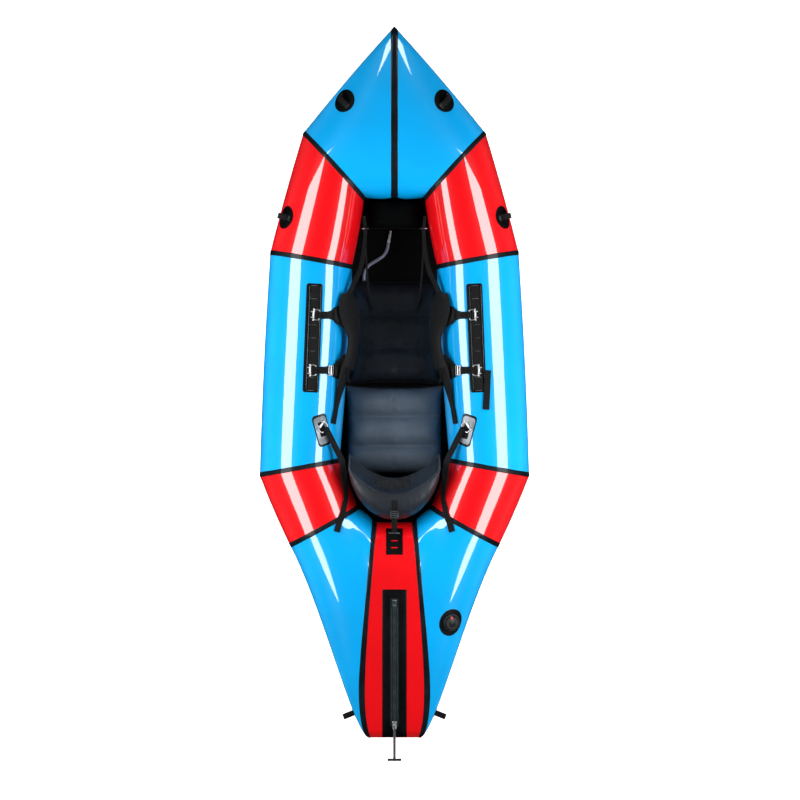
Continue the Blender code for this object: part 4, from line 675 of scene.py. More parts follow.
# Each finish's slot, maker, name and the maker's other values. The hull's blue and red are the user's own.
FINISHES = {
    "blue": ("coated_nylon_blue", film_coated_nylon, "film_coated_nylon_blue"),
    "red": ("coated_nylon_red", film_coated_nylon, "film_coated_nylon_red"),
    "tape": ("coated_nylon_black", taped_film, "seam_tape_black", "#070C10", "#111A20"),
    "patch": ("coated_nylon_black", taped_film, "welded_patch_black", "#030405", "#080B0E"),
    "grey_patch": ("coated_nylon_black", taped_film, "welded_patch_grey", "#5A6168", "#AEB5BB"),
    "webbing": ("webbing_black", webbing, "woven_webbing_black", "#020203", "#101315"),
    "thread": ("webbing_black", webbing, "stitching_thread_grey", "#8E9193", "#D4D6D8", 0.0008),
    "braid": ("webbing_black", webbing, "braided_cord_black", "#0A0C0E", "#6A7276", 0.0045),
    # The backrest piping's grey is painted sheen: the thin light line along the rim is drawn into the cord's
    # colour.
    "piping": (CHARCOAL, webbing, "piping_cord_grey", "#2A3036", "#565F67", 0.0020),
    "mesh": (CHARCOAL, webbing, "mesh_panel_black", "#030405", "#12161A", 0.004),
    "zip_tape": ("moulded_rubber_black", webbing, "woven_zip_tape_grey", "#0B1213", "#202C2F", 0.0030),
    "pad": ("webbing_black", cushion_nylon, "padded_nylon_black", "#010202", "#040506", 0.6, 0.06, 0.12),
    # The seat's grey is painted sheen: drawn lighter than its dark fabric, so that the top light makes the
    # crowns of its three tubes shine.
    "seat": (CHARCOAL, cushion_nylon, "film_coated_nylon_charcoal", "#38434F", "#45525F", 0.5, 0.35, 0.45),
    "leg": (CHARCOAL, cushion_nylon, "film_coated_nylon_black", "#070B10", "#0D131A", 0.5, 0.22, 0.22),
    "back": (CHARCOAL, cushion_nylon, "film_coated_nylon_dark", "#141A21", "#1D252E", 0.45, 0.4, 0.4),
    # The foot brace's near black is painted shade: it stands in the dark under the bow's deck, so its colour
    # is drawn darker than its fabric.
    "brace": (CHARCOAL, cushion_nylon, "brace_nylon_black", "#010202", "#030405", 0.8, 0.0, 0.04),
    "floor": (None, cushion_nylon, "floor_fabric_black", "#010102", "#020304", 0.6, 0.0, 0.1),
    "steel": ("stainless_steel", polished_steel, "tumbled_stainless_steel", "#E6E8EA"),
    "rubber": ("moulded_rubber_black", moulded_rubber, "moulded_tpu_black", "#0B0D0F", "#14171A"),
    "zip": ("moulded_rubber_black", moulded_rubber, "moulded_zip_coil_grey", "#222B2E", "#384346", 0.38),
    "slide": ("moulded_rubber_black", moulded_rubber, "moulded_slide_grey", "#2C3134", "#4A5055", 0.35),
    "red_tab": ("coated_nylon_red", moulded_rubber, "moulded_tpu_red", "#B93A36", "#D8655D"),
    "clear": ("clear_tube", clear_tube, "drawn_tube_clear", "#A9AFC4", 0.55),
    "pale": ("clear_tube", clear_tube, "moulded_mouthpiece_clear", "#C4C8CF", 0.25),
    "studio": (None, studio_acrylic, "studio_paper_white", "#F5F6F7", "#F9FAFB"),
}
MATERIALS = {}


def finish(key):
    """The finish of that name, made once."""
    if key not in MATERIALS:
        maker, name, *values = FINISHES[key][1:]
        if not values:
            colour = getattr(bpy.context.scene.packraft_colours, key)
            values = hex_of(colour, 0.93), hex_of(colour)
        MATERIALS[key] = maker(name, *values)
    return MATERIALS[key]


class PackraftColours(bpy.types.PropertyGroup):
    """The hull's two colours"""

    blue: FloatVectorProperty(
        name="Blue", description="Colour of the bow, side and stern panels", subtype="COLOR", size=3, min=0,
        max=1, default=linear("#00ABF4")[:3],
    )
    red: FloatVectorProperty(
        name="Red", description="Colour of the shoulder, quarter and deck panels", subtype="COLOR", size=3,
        min=0, max=1, default=linear("#EE0A14")[:3],
    )


class PackraftSizes(bpy.types.PropertyGroup):
    """Sizes of the fabric, the tapes, the webbing and the wire"""

    skin: FloatProperty(
        name="Skin", description="Thickness of the coated fabric", default=0.0006, unit="LENGTH"
    )
    tape_width: FloatProperty(
        name="Tape", description="Width of the round seams' tapes", default=0.017, unit="LENGTH"
    )
    bow_tape_width: FloatProperty(
        name="Bow tape", description="Width of the bow's tape", default=0.024, unit="LENGTH"
    )
    deck_tape_width: FloatProperty(
        name="Deck tape", description="Width of the deck's tapes", default=0.021, unit="LENGTH"
    )
    tape_thickness: FloatProperty(
        name="Tape thickness", description="How far a tape stands proud", default=0.0009, unit="LENGTH"
    )
    webbing_width: FloatProperty(
        name="Webbing", description="Width of the strap webbing", default=0.025, unit="LENGTH"
    )
    webbing_thickness: FloatProperty(
        name="Webbing thickness", description="Thickness of all webbing", default=0.0016, unit="LENGTH"
    )
    buckle_wire: FloatProperty(
        name="Buckle wire", description="Radius of the buckles' wire", default=0.0019, unit="LENGTH"
    )


def sizes():
    """The sizes that the user may change."""
    return bpy.context.scene.packraft_sizes


CAMERA_PLACE = (0.0193, -0.0167, 0.144)
CAMERA_DISTANCE = 16.0
VIEW_WIDTH = 2.8
SENSOR_WIDTH = 36
# Name, place, target, width, length and watts of each lamp.
LAMPS = (
    ("soft_box_left", (-1.21, -0.05, 1.20), (-0.78, -0.05, 0.15), 0.80, 2.3, 36),
    ("soft_box_right", (1.21, -0.05, 1.20), (0.78, -0.05, 0.15), 0.80, 2.3, 36),
    ("ceiling", (0, 0, 4.2), (0, 0, 0), 3.4, 4.0, 8),
)
WORLD_COLOUR = (0.96, 0.98, 1.0, 1)
WORLD_STRENGTH = 0.26
FLOOR_HALF = 9
FLOOR_Z = -0.0005


def aimed(data, place, target):
    """A camera or lamp at a place, looking at a target, with the picture's top towards the bow."""
    thing = bpy.data.objects.new(data.name, data)
    bpy.context.scene.collection.objects.link(thing)
    away = unit(np.asarray(place, float) - np.asarray(target, float))
    right = unit(np.cross((0.0, 1.0, 0.0), away))
    matrix = Matrix(np.column_stack((right, np.cross(away, right), away)).tolist()).to_4x4()
    matrix.translation = place
    thing.matrix_world = matrix
    return thing


class PACKRAFT_OT_stage(bpy.types.Operator):
    """Sets up the camera straight above, two long soft boxes beside the raft and the white floor"""

    bl_idname = "packraft.stage"
    bl_label = "Stage"

    def execute(self, context):
        x, y, z = CAMERA_PLACE
        camera = aimed(bpy.data.cameras.new("camera"), (x, y, z + CAMERA_DISTANCE), CAMERA_PLACE)
        camera.data.sensor_width = SENSOR_WIDTH
        camera.data.lens = SENSOR_WIDTH * CAMERA_DISTANCE / VIEW_WIDTH
        context.scene.camera = camera
        context.scene.view_settings.view_transform = "Standard"
        for name, place, target, width, length, watts in LAMPS:
            lamp = aimed(bpy.data.lights.new(name, "AREA"), place, target)
            lamp.data.shape = "RECTANGLE"
            lamp.data.size, lamp.data.size_y = width, length
            lamp.data.energy = watts
            lamp.visible_glossy = name != "ceiling"
        world = bpy.data.worlds.new("studio")
        world.use_nodes = True
        background = world.node_tree.nodes["Background"]
        background.inputs["Color"].default_value = WORLD_COLOUR
        background.inputs["Strength"].default_value = WORLD_STRENGTH
        world.cycles_visibility.glossy = False
        context.scene.world = world
        mesh = bpy.data.meshes.new("studio_floor")
        corners = np.array(((-1, -1), (1, -1), (1, 1), (-1, 1))) * FLOOR_HALF
        mesh.from_pydata([(*corner, FLOOR_Z) for corner in corners], [], [(0, 1, 2, 3)])
        mesh.materials.append(finish("studio"))
        sheet = bpy.data.objects.new("studio_floor", mesh)
        context.scene.collection.objects.link(sheet)
        sheet.visible_glossy = False
        return {"FINISHED"}


HOSE_START = (-0.10797, 0.39989)
HOSE_END = (-0.02122, 0.53903)
# Shares of the hose's length and the headings there, in degrees from the bow's direction.
HOSE_BENDS = ((0, 0), (0.11, 0), (0.43, 57), (0.63, 57), (0.89, 10), (1, 10))
HOSE_HEIGHT = 0.0078
HOSE_DIAMETER = 0.012
MOUTH_LENGTH = 0.042
# Shares of the mouthpiece's length and its radii: the collar, one of the five ribs and the mouth.
MOUTH_COLLAR = ((0, 0.0060), (0.02, 0.0064), (0.17, 0.0064), (0.19, 0.0052))
MOUTH_RIB = ((0, 0.0046), (0.02, 0.0054), (0.05, 0.0054), (0.07, 0.0046))
MOUTH_TIP = ((0.74, 0.0040), (0.92, 0.0038), (0.97, 0.0046), (1, 0.0042))


def hose_points(count):
    """The hose's middle on the floor: headings summed along its length, fitted between its two ends."""
    shares, headings = np.transpose(HOSE_BENDS)
    heading = np.radians(np.interp(np.linspace(0, 1, 512), shares, headings))
    path = np.cumsum(np.stack((np.sin(heading), np.cos(heading)), -1), axis=0)
    start, end = np.array(HOSE_START), np.array(HOSE_END)
    path = start + (end - start) * (path - path[0]) / (path[-1] - path[0])
    flat = by_length(path, np.linspace(0, 1, count))
    return np.column_stack((flat, np.full(count, HOSE_HEIGHT)))


class PACKRAFT_OT_hose(bpy.types.Operator):
    """Lays the clear inflation hose on the floor, with its ribbed mouthpiece"""

    bl_idname = "packraft.hose"
    bl_label = "Inflation hose"

    def execute(self, context):
        points = hose_points(24)
        curve = bpy.data.curves.new("hose", "CURVE")
        curve.dimensions = "3D"
        curve.bevel_depth = HOSE_DIAMETER / 2
        curve.bevel_resolution = 6
        curve.use_fill_caps = True
        spline = curve.splines.new("POLY")
        spline.points.add(len(points) - 1)
        spline.points.foreach_set("co", np.column_stack((points, np.ones(len(points)))).ravel())
        curve.materials.append(finish("clear"))
        hose = bpy.data.objects.new("hose", curve)
        context.scene.collection.objects.link(hose)
        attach(hose, "hull")
        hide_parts("inflation_hose")
        ahead = unit(points[-1] - points[-2])
        start = points[-1] + 0.0003 * ahead
        ribs = [(0.24 + 0.09 * step + share, radius) for step in range(5) for share, radius in MOUTH_RIB]
        mouth = rod(start, start + MOUTH_LENGTH * ahead, (*MOUTH_COLLAR, *ribs, *MOUTH_TIP), 24)
        piece = add_piece("mouthpiece", mouth, "pale", "hose_mouthpiece")
        return {"FINISHED"}


# Name, first and last seam, finish and rows of each panel.
PANELS = (
    ("bow_panel", 0, 1, "blue", 64), ("shoulder_panel", 1, 2, "red", 52), ("side_panel", 2, 3, "blue", 84),
    ("quarter_panel", 3, 4, "red", 36), ("stern_panel", 4, 5, "blue", 84),
)
SEAM_GAP = 0.0007


def panel_shape(side, start, end, rows, columns=160):
    """A welded panel: the hull's surface between two seams, once as its outside and once, moved in by the
    fabric's thickness, as its inside, joined at both ends."""
    turns = (np.arange(columns) / columns)[None, :]
    length = np.linalg.norm(hull(float(end), 0.25) - hull(float(start), 0.25))
    gap = SEAM_GAP / max(length, 0.1)
    places = side * np.linspace(start + gap, end - gap, rows)[:, None]
    outside = skin(places, turns)
    inside = outside - sizes().skin * hull_normal(places, turns)
    along = distances(outside.mean(1))
    points = np.concatenate((outside, inside[::-1]))
    return grid_shape(points, distances(outside[rows // 2]), np.concatenate((along, along[::-1])), loop=True)


class PACKRAFT_OT_hull(bpy.types.Operator):
    """Builds the eleven inflated panels of the hull, with the gathers beside their seams"""

    bl_idname = "packraft.hull"
    bl_label = "Hull panels"

    def execute(self, context):
        for name, start, end, key, rows in PANELS:
            for side, word in SIDES:
                shape = panel_shape(side, start, end, rows)
                add_piece(f"{name}_{word}_skin", shape, key, f"{name}_{word}", sharp_deg=60)
        deck = panel_shape(1, 5, 7, 24, 240)
        add_piece("stern_deck_skin", deck, "red", "stern_deck_panel", sharp_deg=60)
        return {"FINISHED"}


ROUND_TAPE = (-0.195, 0.712)
LONG_TAPE = (-0.13, 0.79)
DECK_TAPE = (-0.10, 0.79)
# Name, seam, size of its width and first and last turn of each tape.
TAPES = (
    ("shoulder_front_tape", 1, "tape_width", ROUND_TAPE),
    ("shoulder_rear_tape", 2, "tape_width", ROUND_TAPE),
    ("quarter_front_tape", 3, "tape_width", ROUND_TAPE),
    ("quarter_rear_tape", 4, "tape_width", ROUND_TAPE),
    ("deck_tape", 5, "deck_tape_width", DECK_TAPE),
)
TAPE_ACROSS = np.array((-0.5, -0.47, -0.3, 0, 0.3, 0.47, 0.5, 0.46, 0, -0.46))
TAPE_LIFTS = np.array((0.3, 0.8, 1, 1.08, 1, 0.8, 0.3, 0.1, 0.1, 0.1))


def tape_shape(side, place, width, span, count=200):
    """A tape over a seam: a thin soft-edged section carried round the tube on the fabric."""
    turns = np.linspace(*span, count)
    metres = np.linalg.norm(hull_along(place, turns), axis=-1)
    wander = 1 + 0.02 * np.sin(2 * math.pi * 9 * turns + place)
    offsets = TAPE_ACROSS[None, :] * (width * wander / np.maximum(metres, 0.05))[:, None]
    lift = TAPE_LIFTS[None, :] * sizes().tape_thickness
    points = skin(side * (place + offsets), turns[:, None], lift)
    return grid_shape(points, across=TAPE_ACROSS * width)


class PACKRAFT_OT_tapes(bpy.types.Operator):
    """Lays the black tapes over all seams of the hull"""

    bl_idname = "packraft.tapes"
    bl_label = "Seam tapes"

    def execute(self, context):
        values = sizes()
        for name, place, width, span in TAPES:
            for side, word in SIDES:
                shape = tape_shape(side, place, getattr(values, width), span)
                add_piece(f"{name}_{word}_film", shape, "tape", f"{name}_{word}", sharp_deg=80)
        bow = tape_shape(1, 0, values.bow_tape_width, LONG_TAPE, 300)
        add_piece("bow_tape_film", bow, "tape", "bow_centre_tape", sharp_deg=80)
        return {"FINISHED"}


class PACKRAFT_OT_floor(bpy.types.Operator):
    """Gives the floor sheet its black coated fabric"""

    bl_idname = "packraft.floor"
    bl_label = "Floor sheet"

    def execute(self, context):
        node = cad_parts["floor_sheet"]
        node.data.materials.clear()
        node.data.materials.append(finish("floor"))
        return {"FINISHED"}


PATCH_LOW = 0.0001
PATCH_THICK = 0.0012
PATCH_TOP = PATCH_LOW + PATCH_THICK
BASE_THICK = 0.0012
# Name, place and turn of each pair of grab loops, and the stern loops' place and turn.
GRAB_LOOPS = (("bow_loop", 0.569, 0.4163), ("shoulder_loop", 1.6971, 0.4088))
STERN_LOOP = (4.7456, 0.5)
LOOP_WIDTH = 0.020
GRAB_PATCH_RADIUS = 0.041
TACK_HALF = 0.008
TACK_OFFSETS = (-0.0225, -0.0275, 0.0225, 0.0275)


def arch_rows(place, turn, span, rise, foot, seat):
    """Rows along a webbing loop across the tube: two flat feet and a half ellipse between them."""
    angles = np.linspace(math.pi, 0, 25)
    feet = np.linspace(span / 2, span / 2 + foot, 5)[1:]
    across = np.concatenate((-feet[::-1], span / 2 * np.cos(angles), feet))
    lift = np.concatenate((np.zeros(4), rise * np.sin(angles) ** 0.8, np.zeros(4))) + seat
    places, turns = settle(place, turn, np.column_stack((0 * across, across)))
    centres = skin(places, turns, lift)
    ahead = unit(hull_along(places, turns))
    return np.column_stack((centres, np.cross(unit(np.gradient(centres, axis=0)), -ahead)))


class PACKRAFT_OT_loops(bpy.types.Operator):
    """Builds the four grab loops on their round patches and the two loops at the stern"""

    bl_idname = "packraft.loops"
    bl_label = "Webbing loops"

    def execute(self, context):
        thick = sizes().webbing_thickness
        for name, place, turn in GRAB_LOOPS:
            for side, word in SIDES:
                here, part = side * place, f"{name}_{word}"
                disc = patch(here, turn, circle(GRAB_PATCH_RADIUS), 0, PATCH_LOW, PATCH_THICK)
                base = patch(here, turn, even_box(0.026, 0.050, 0.006, 0.003), 0, PATCH_TOP, BASE_THICK, 4)
                add_piece(f"{part}_patch", [disc, base], "patch")
                rows = arch_rows(here, turn, 0.040, 0.0245, 0.011, PATCH_TOP + BASE_THICK + thick / 2)
                add_piece(f"{part}_webbing", web(rows, LOOP_WIDTH, thick), "webbing", part)
                seat = PATCH_TOP + BASE_THICK + thick
                tacks = []
                for across in TACK_OFFSETS:
                    tacks += stitches(here, turn, (-TACK_HALF, across), (TACK_HALF, across), 0, seat, 0.0016)
                add_piece(f"{part}_tacks", tacks, "thread")
        place, turn = STERN_LOOP
        for side, word in SIDES:
            part = f"stern_loop_{word}"
            rows = arch_rows(side * place, turn, 0.016, 0.0375, 0.010, 0.0012)
            add_piece(f"{part}_webbing", web(rows, LOOP_WIDTH, 0.0022), "webbing", part)
            pad = patch(side * place, turn, even_box(0.034, 0.052, 0.008, 0.003), 0, 0.00005, 0.0008, 4)
            add_piece(f"{part}_patch", pad, "patch")
        return {"FINISHED"}


# Place, turn and toe of the strap patches and the rear patches.
STRAP_PATCH = (2.3776, 0.2248, math.radians(-1.0))
REAR_PATCH = (2.8271, 0.1625, math.radians(20))
DAISY_HALF = 0.182
DAISY_PITCH = 0.0455
DAISY_BARS = 9
EDGE_STITCH_HALF = 0.180
WINDOW_LOW = PATCH_LOW + 0.0007
TAB_LOW = PATCH_LOW + 0.0011


class PACKRAFT_OT_strap_patches(bpy.types.Operator):
    """Builds the long strap patches with their daisy-chained webbing and the grey rear patches"""

    bl_idname = "packraft.strap_patches"
    bl_label = "Strap patches"

    def execute(self, context):
        for side, word in SIDES:
            place, turn, toe = STRAP_PATCH
            here, toe, part = side * place, side * toe, f"strap_patch_{word}"
            base = patch(here, turn, even_box(0.378, 0.056, 0.007, 0.005), toe, PATCH_LOW, PATCH_THICK, 10)
            add_piece(f"{part}_film", base, "patch", part)
            along = np.linspace(-DAISY_HALF, DAISY_HALF, 120)
            arcs = np.abs(np.sin(math.pi * (along + DAISY_HALF) / DAISY_PITCH))
            places, turns = settle(here, turn, np.column_stack((along, 0.003 * side + 0 * along)), toe)
            rows = on_fabric(places, turns, PATCH_TOP + 0.0008 + 0.0022 * arcs**0.7)
            add_piece(f"{part}_daisy", web(rows, 0.030, 0.0014), "webbing")
            sewn = []
            for across in (-0.0165 * side, 0.0225 * side):
                start, end = (-EDGE_STITCH_HALF, across), (EDGE_STITCH_HALF, across)
                sewn += stitches(here, turn, start, end, toe, PATCH_TOP, 0.0055, 0.0005)
            top = PATCH_TOP + 0.0017
            for at in -DAISY_HALF + DAISY_PITCH * np.arange(DAISY_BARS):
                sewn += stitches(here, turn, (at, -0.010), (at, 0.014), toe, top, 0.0030, 0.0004)
            add_piece(f"{part}_stitching", sewn, "thread")
            place, turn, toe = REAR_PATCH
            here, toe, part = side * place, -side * toe, f"rear_patch_{word}"
            outline = even_box(0.112, 0.056, 0.013, 0.004)
            add_piece(f"{part}_film", patch(here, turn, outline, toe, PATCH_LOW, 0.0007), "patch", part)
            window = patch(here, turn, outline * 0.86, toe, WINDOW_LOW, 0.0004, 6)
            add_piece(f"{part}_window", window, "grey_patch")
            outline = even_box(0.052, 0.024, 0.004, 0.003) + (0.004, 0.0)
            add_piece(f"{part}_tab", patch(here, turn, outline, toe, TAB_LOW, 0.0014, 5), "webbing")
        return {"FINISHED"}


# Name, place, turn and toe of each pair of buckles.
BUCKLES = (
    ("side_buckle_front", 2.2661, 0.2157, 0.0), ("side_buckle_rear", 2.5325, 0.2171, 0.0),
    ("rear_buckle", 2.8124, 0.1634, math.radians(45)),
)
BUCKLE_LENGTH = 0.022
BUCKLE_WIDTH = 0.036
BUCKLE_LIFT = 0.0050
PRONG_OFFSET = 0.0105
# Shares of the hook bar's length and its radii, with a ball near each end.
HOOK_BAR = (
    (0, 0.0012), (0.02, 0.0028), (0.07, 0.0033), (0.12, 0.0028), (0.14, 0.0021), (0.86, 0.0021),
    (0.88, 0.0028), (0.93, 0.0033), (0.98, 0.0028), (1, 0.0012),
)
FRONT_RING_PLACE = (0.1028, 0.5837, 0.1476)
FRONT_STRAP_NORMAL = (-0.8396, 0, 0.5446)
FRONT_STRAP_AHEAD = (-0.0396, -0.9978, -0.0532)


def buckle_shapes(frame_at):
    """A round-cornered wire ring, its hook bar with two balls, and two hooked prongs outboard of it: wires
    bent in half circles."""
    radius = sizes().buckle_wire
    ring = bent_ring(frame_at, even_box(BUCKLE_LENGTH, BUCKLE_WIDTH, 0.008, 0.0015, 8), radius, 10)
    x, reach = BUCKLE_LENGTH / 2, BUCKLE_WIDTH / 2 + 0.0035
    bar = rod(*placed(frame_at, [(x, -reach, 0), (x, reach, 0)]), HOOK_BAR)
    prongs = []
    for y in (-PRONG_OFFSET, PRONG_OFFSET):
        angles = np.linspace(-math.pi / 2, math.pi * 0.75, 14)
        bend = (x + 0.0052 + 0.0042 * np.cos(angles), np.full(14, y), 0.0040 + 0.0040 * np.sin(angles))
        hook = np.concatenate((((x - 0.001, y, 0.0), (x + 0.003, y, -0.0001)), np.column_stack(bend)))
        prongs.append(wire(placed(frame_at, hook), radius * 0.9, 8))
    plate = block(frame_at, (x - 0.0035, -0.013, -0.0012), (x + 0.0035, 0.013, 0.0012))
    return [ring, bar, plate, *prongs]


class PACKRAFT_OT_buckles(bpy.types.Operator):
    """Builds the six hook buckles and the two front rings"""

    bl_idname = "packraft.buckles"
    bl_label = "Buckles and rings"

    def execute(self, context):
        for name, place, turn, toe in BUCKLES:
            for side, word in SIDES:
                shapes = buckle_shapes(tube_frame(side * place, turn, BUCKLE_LIFT, side * toe))
                add_piece(f"{name}_{word}_steel", shapes, "steel", f"{name}_{word}")
        for side, word in SIDES:
            mirror = np.array((side, 1, 1))
            ahead = mirror * FRONT_STRAP_AHEAD
            aside = unit(np.cross(mirror * FRONT_STRAP_NORMAL, ahead))
            frame_at = np.column_stack((aside, np.cross(aside, ahead), ahead)), mirror * FRONT_RING_PLACE
            ring = bent_ring(frame_at, even_box(0.034, 0.0078, 0.0038, 0.001, 8), 0.0023, 10)
            add_piece(f"front_ring_{word}_steel", ring, "steel", f"front_ring_{word}")
        return {"FINISHED"}


# Rows for the right side: x, y, z, lean towards the cockpit in degrees and, for the pad, its width.
PAD_ROWS = (
    (0.1650, 0.3554, 0.2365, 36.0, 0.044), (0.1594, 0.3060, 0.2380, 38.0, 0.082),
    (0.1518, 0.2566, 0.2337, 38.0, 0.074), (0.1438, 0.2023, 0.2294, 36.0, 0.044),
    (0.1485, 0.1479, 0.2323, 36.0, 0.042), (0.1627, 0.0936, 0.2394, 36.0, 0.050),
)
FRONT_ROWS = (
    (0.1066, 0.6271, 0.1539, 60.0), (0.1028, 0.5580, 0.1482, 55.0), (0.1160, 0.4517, 0.1767, 45.0),
    (0.1414, 0.3900, 0.2166, 40.0), (0.1627, 0.3406, 0.2365, 36.0),
)
INNER_TAPE_ROWS = (
    (0.1040, 0.5560, 0.1500, 50.0), (0.0985, 0.4700, 0.1240, 42.0), (0.0945, 0.4000, 0.0900, 30.0),
    (0.0850, 0.3350, 0.0570, 12.0), (0.0735, 0.2960, 0.0505, 0.0),
)
REAR_ROWS = ((0.1627, 0.1035, 0.2394, 36.0), (0.1829, 0.0393, 0.2365, 44.0))
BACK_ROWS = (
    (0.2004, -0.1905, 0.2522, 20.0), (0.1815, -0.2325, 0.2479, 20.0), (0.1735, -0.2942, 0.2394, 30.0),
)
# Rows of place and turn. An arm, which is a side strap, has its buckle's and its inner end's.
REAR_ON_TUBE = ((2.7085, 0.1005), (2.8001, 0.1124))
BACK_ON_TUBE = ((3.6996, 0.1069), (3.9731, 0.1578), (4.1147, 0.21))
FRONT_ARM = ((2.2661, 0.2157), (2.2586, 0.1349))
REAR_ARM = ((2.5325, 0.2171), (2.5338, 0.1174))
STRAP_LIFT = 0.0040
PAD_THICK = 0.006
DOUBLED = 0.0017
FRONT_STRAP_WIDTH = 0.022
BACK_STRAP_WIDTH = 0.022


def free_rows(side, rows):
    """Stations off the tube: point and face normal, leaning by degrees towards the cockpit."""
    rows = np.asarray(rows, float)
    lean = np.radians(rows[:, 3])
    normals = np.stack((-side * np.sin(lean), 0 * lean, np.cos(lean)), -1)
    return np.column_stack((rows[:, :3] * (side, 1, 1), normals, rows[:, 4:]))


def tube_rows(side, places):
    """Stations on the tube with one more half way between each two of them."""
    places = np.asarray(places, float)
    fuller = np.empty((2 * len(places) - 1, 2))
    fuller[::2], fuller[1::2] = places, (places[1:] + places[:-1]) / 2
    return on_fabric(side * fuller[:, 0], fuller[:, 1], STRAP_LIFT)


def bar_rows(side, place, turn, toe, reaches):
    """Stations of webbing that comes off a buckle over its inboard bar."""
    frame_at = tube_frame(side * place, turn, BUCKLE_LIFT, side * toe)
    rise = sizes().buckle_wire + sizes().webbing_thickness / 2 + 0.0004
    local = [(-reach * 0.0018 - BUCKLE_LENGTH / 2, 0, rise) for reach in reaches]
    return np.column_stack((placed(frame_at, local), np.repeat(frame_at[0][:, 2][None], len(reaches), 0)))


def arm_rows(side, ends, pad):
    """Rows along a side strap: over its buckle's bar, in along the tube and on to the pad beside it."""
    (place, turn), inner = ends
    start = bar_rows(side, place, turn, 0, (-2, 1))
    step = abs(local_steps(side * place, turn, 0)[1, 1]) * BUCKLE_LENGTH
    first = np.array((place, turn - step))
    found = first + np.linspace(0, 1, 4)[:, None] * (np.array(inner) - first)
    middle = on_fabric(side * found[:, 0], found[:, 1], STRAP_LIFT + 0.0008)
    last = pad[np.abs(pad[:, 1] - start[0, 1]).argmin(), :6]
    return smooth_route(np.concatenate((start, middle, last[None])), 8)


def slide_shapes(rows, index, lift, size, radius, bars, reach, rise):
    """A wire slide round webbing: a rounded ring in the webbing's plane and bars across it."""
    point, normal = rows[index, :3], rows[index, 3:]
    ahead = unit(rows[index + 1, :3] - rows[index - 1, :3])
    frame_at = np.column_stack((ahead, np.cross(normal, ahead), normal)), point + lift * normal
    shapes = [bent_ring(frame_at, even_box(*size, 0.001, 5), radius)]
    for x in bars:
        ends = placed(frame_at, [(x, -reach, rise), (x, reach, rise)])
        shapes.append(rod(*ends, ((0, radius - 0.0002), (0.5, radius), (1, radius - 0.0002)), 8))
    return shapes


def thigh_strap(side, word):
    """One thigh strap: the pad with its arms, its doubled webbing, the binding and the rear arm's slide. An
    arm widens by a power of its share into the pad."""
    width, thick = sizes().webbing_width, sizes().webbing_thickness
    rows = smooth_route(free_rows(side, PAD_ROWS), 8)
    sides = unit(np.cross(rows[:, 3:6], unit(np.gradient(rows[:, :3], axis=0))))
    edges = [wire(rows[:, :3] + sign * (rows[:, 6:7] / 2 - 0.0006) * sides, 0.0022, 8) for sign in (-1, 1)]
    front = smooth_route(free_rows(side, FRONT_ROWS), 10)
    rear = smooth_route(np.concatenate((free_rows(side, REAR_ROWS), tube_rows(side, REAR_ON_TUBE))), 10)
    tape = smooth_route(free_rows(side, INNER_TAPE_ROWS), 10)
    flare = width + 0.030 * np.clip(1 - np.linspace(0, 1, len(rear)) / 0.6, 0, 1) ** 1.6
    pieces = [web(rows, rows[:, 6], PAD_THICK, crown=0.0012), web(rear, flare, thick, raised=-0.0004)]
    straps = [
        web(front, FRONT_STRAP_WIDTH, thick), web(front, 0.016, thick, slice(16, None), DOUBLED),
        web(rear, width, thick), web(tape, 0.009, 0.0014), web(rear, 0.018, thick, slice(4, -6), DOUBLED),
    ]
    for ends in (FRONT_ARM, REAR_ARM):
        arm = arm_rows(side, ends, rows)
        flare = width + 0.085 * np.clip((np.linspace(0, 1, len(arm)) - 0.42) / 0.58, 0, 1) ** 2.8
        pieces.append(web(arm, flare, thick, crown=0.0004))
        straps.append(web(arm, width, thick, slice(26), 0.0004))
    thigh = add_piece(f"thigh_pad_{word}", pieces, "pad", f"thigh_strap_{word}", sharp_deg=50)
    add_piece(f"thigh_webbing_{word}", straps, "webbing", sharp_deg=50)
    add_piece(f"thigh_binding_{word}", edges, "webbing")
    if side > 0:
        along = np.linspace(0.002, 0.138, 30)
        places, turns = settle(*REAR_ARM[0], np.column_stack((along, np.linspace(0.040, 0.027, 30))))
        tail = on_fabric(places, turns, 0.0042 + 0.0016 * np.sin(along * 60) ** 2)
        add_piece("loose_tail_webbing", web(tail, 0.023, thick), "webbing", sharp_deg=50)
    slide = slide_shapes(arm, 31, 0.0022, (0.017, 0.033, 0.003), 0.0016, (0,), 0.0155, 0.0006)
    add_piece(f"strap_slides_{word}", slide, "steel")


class PACKRAFT_OT_straps(bpy.types.Operator):
    """Builds the thigh straps, with padding, binding, doubled webbing and slides, and the back straps"""

    bl_idname = "packraft.straps"
    bl_label = "Thigh and back straps"

    def execute(self, context):
        thick = sizes().webbing_thickness
        for side, word in SIDES:
            thigh_strap(side, word)
            start = bar_rows(side, *BUCKLES[2][1:], (-2, 1, 6))
            rows = np.concatenate((start, free_rows(side, BACK_ROWS), tube_rows(side, BACK_ON_TUBE)))
            rows = smooth_route(rows, 8)
            layers = [web(rows, BACK_STRAP_WIDTH, thick), web(rows, 0.0205, thick, slice(6, 34), DOUBLED)]
            add_piece(f"back_strap_{word}_webbing", layers, "webbing", f"back_strap_{word}", sharp_deg=50)
        return {"FINISHED"}


DRAW = 0.05
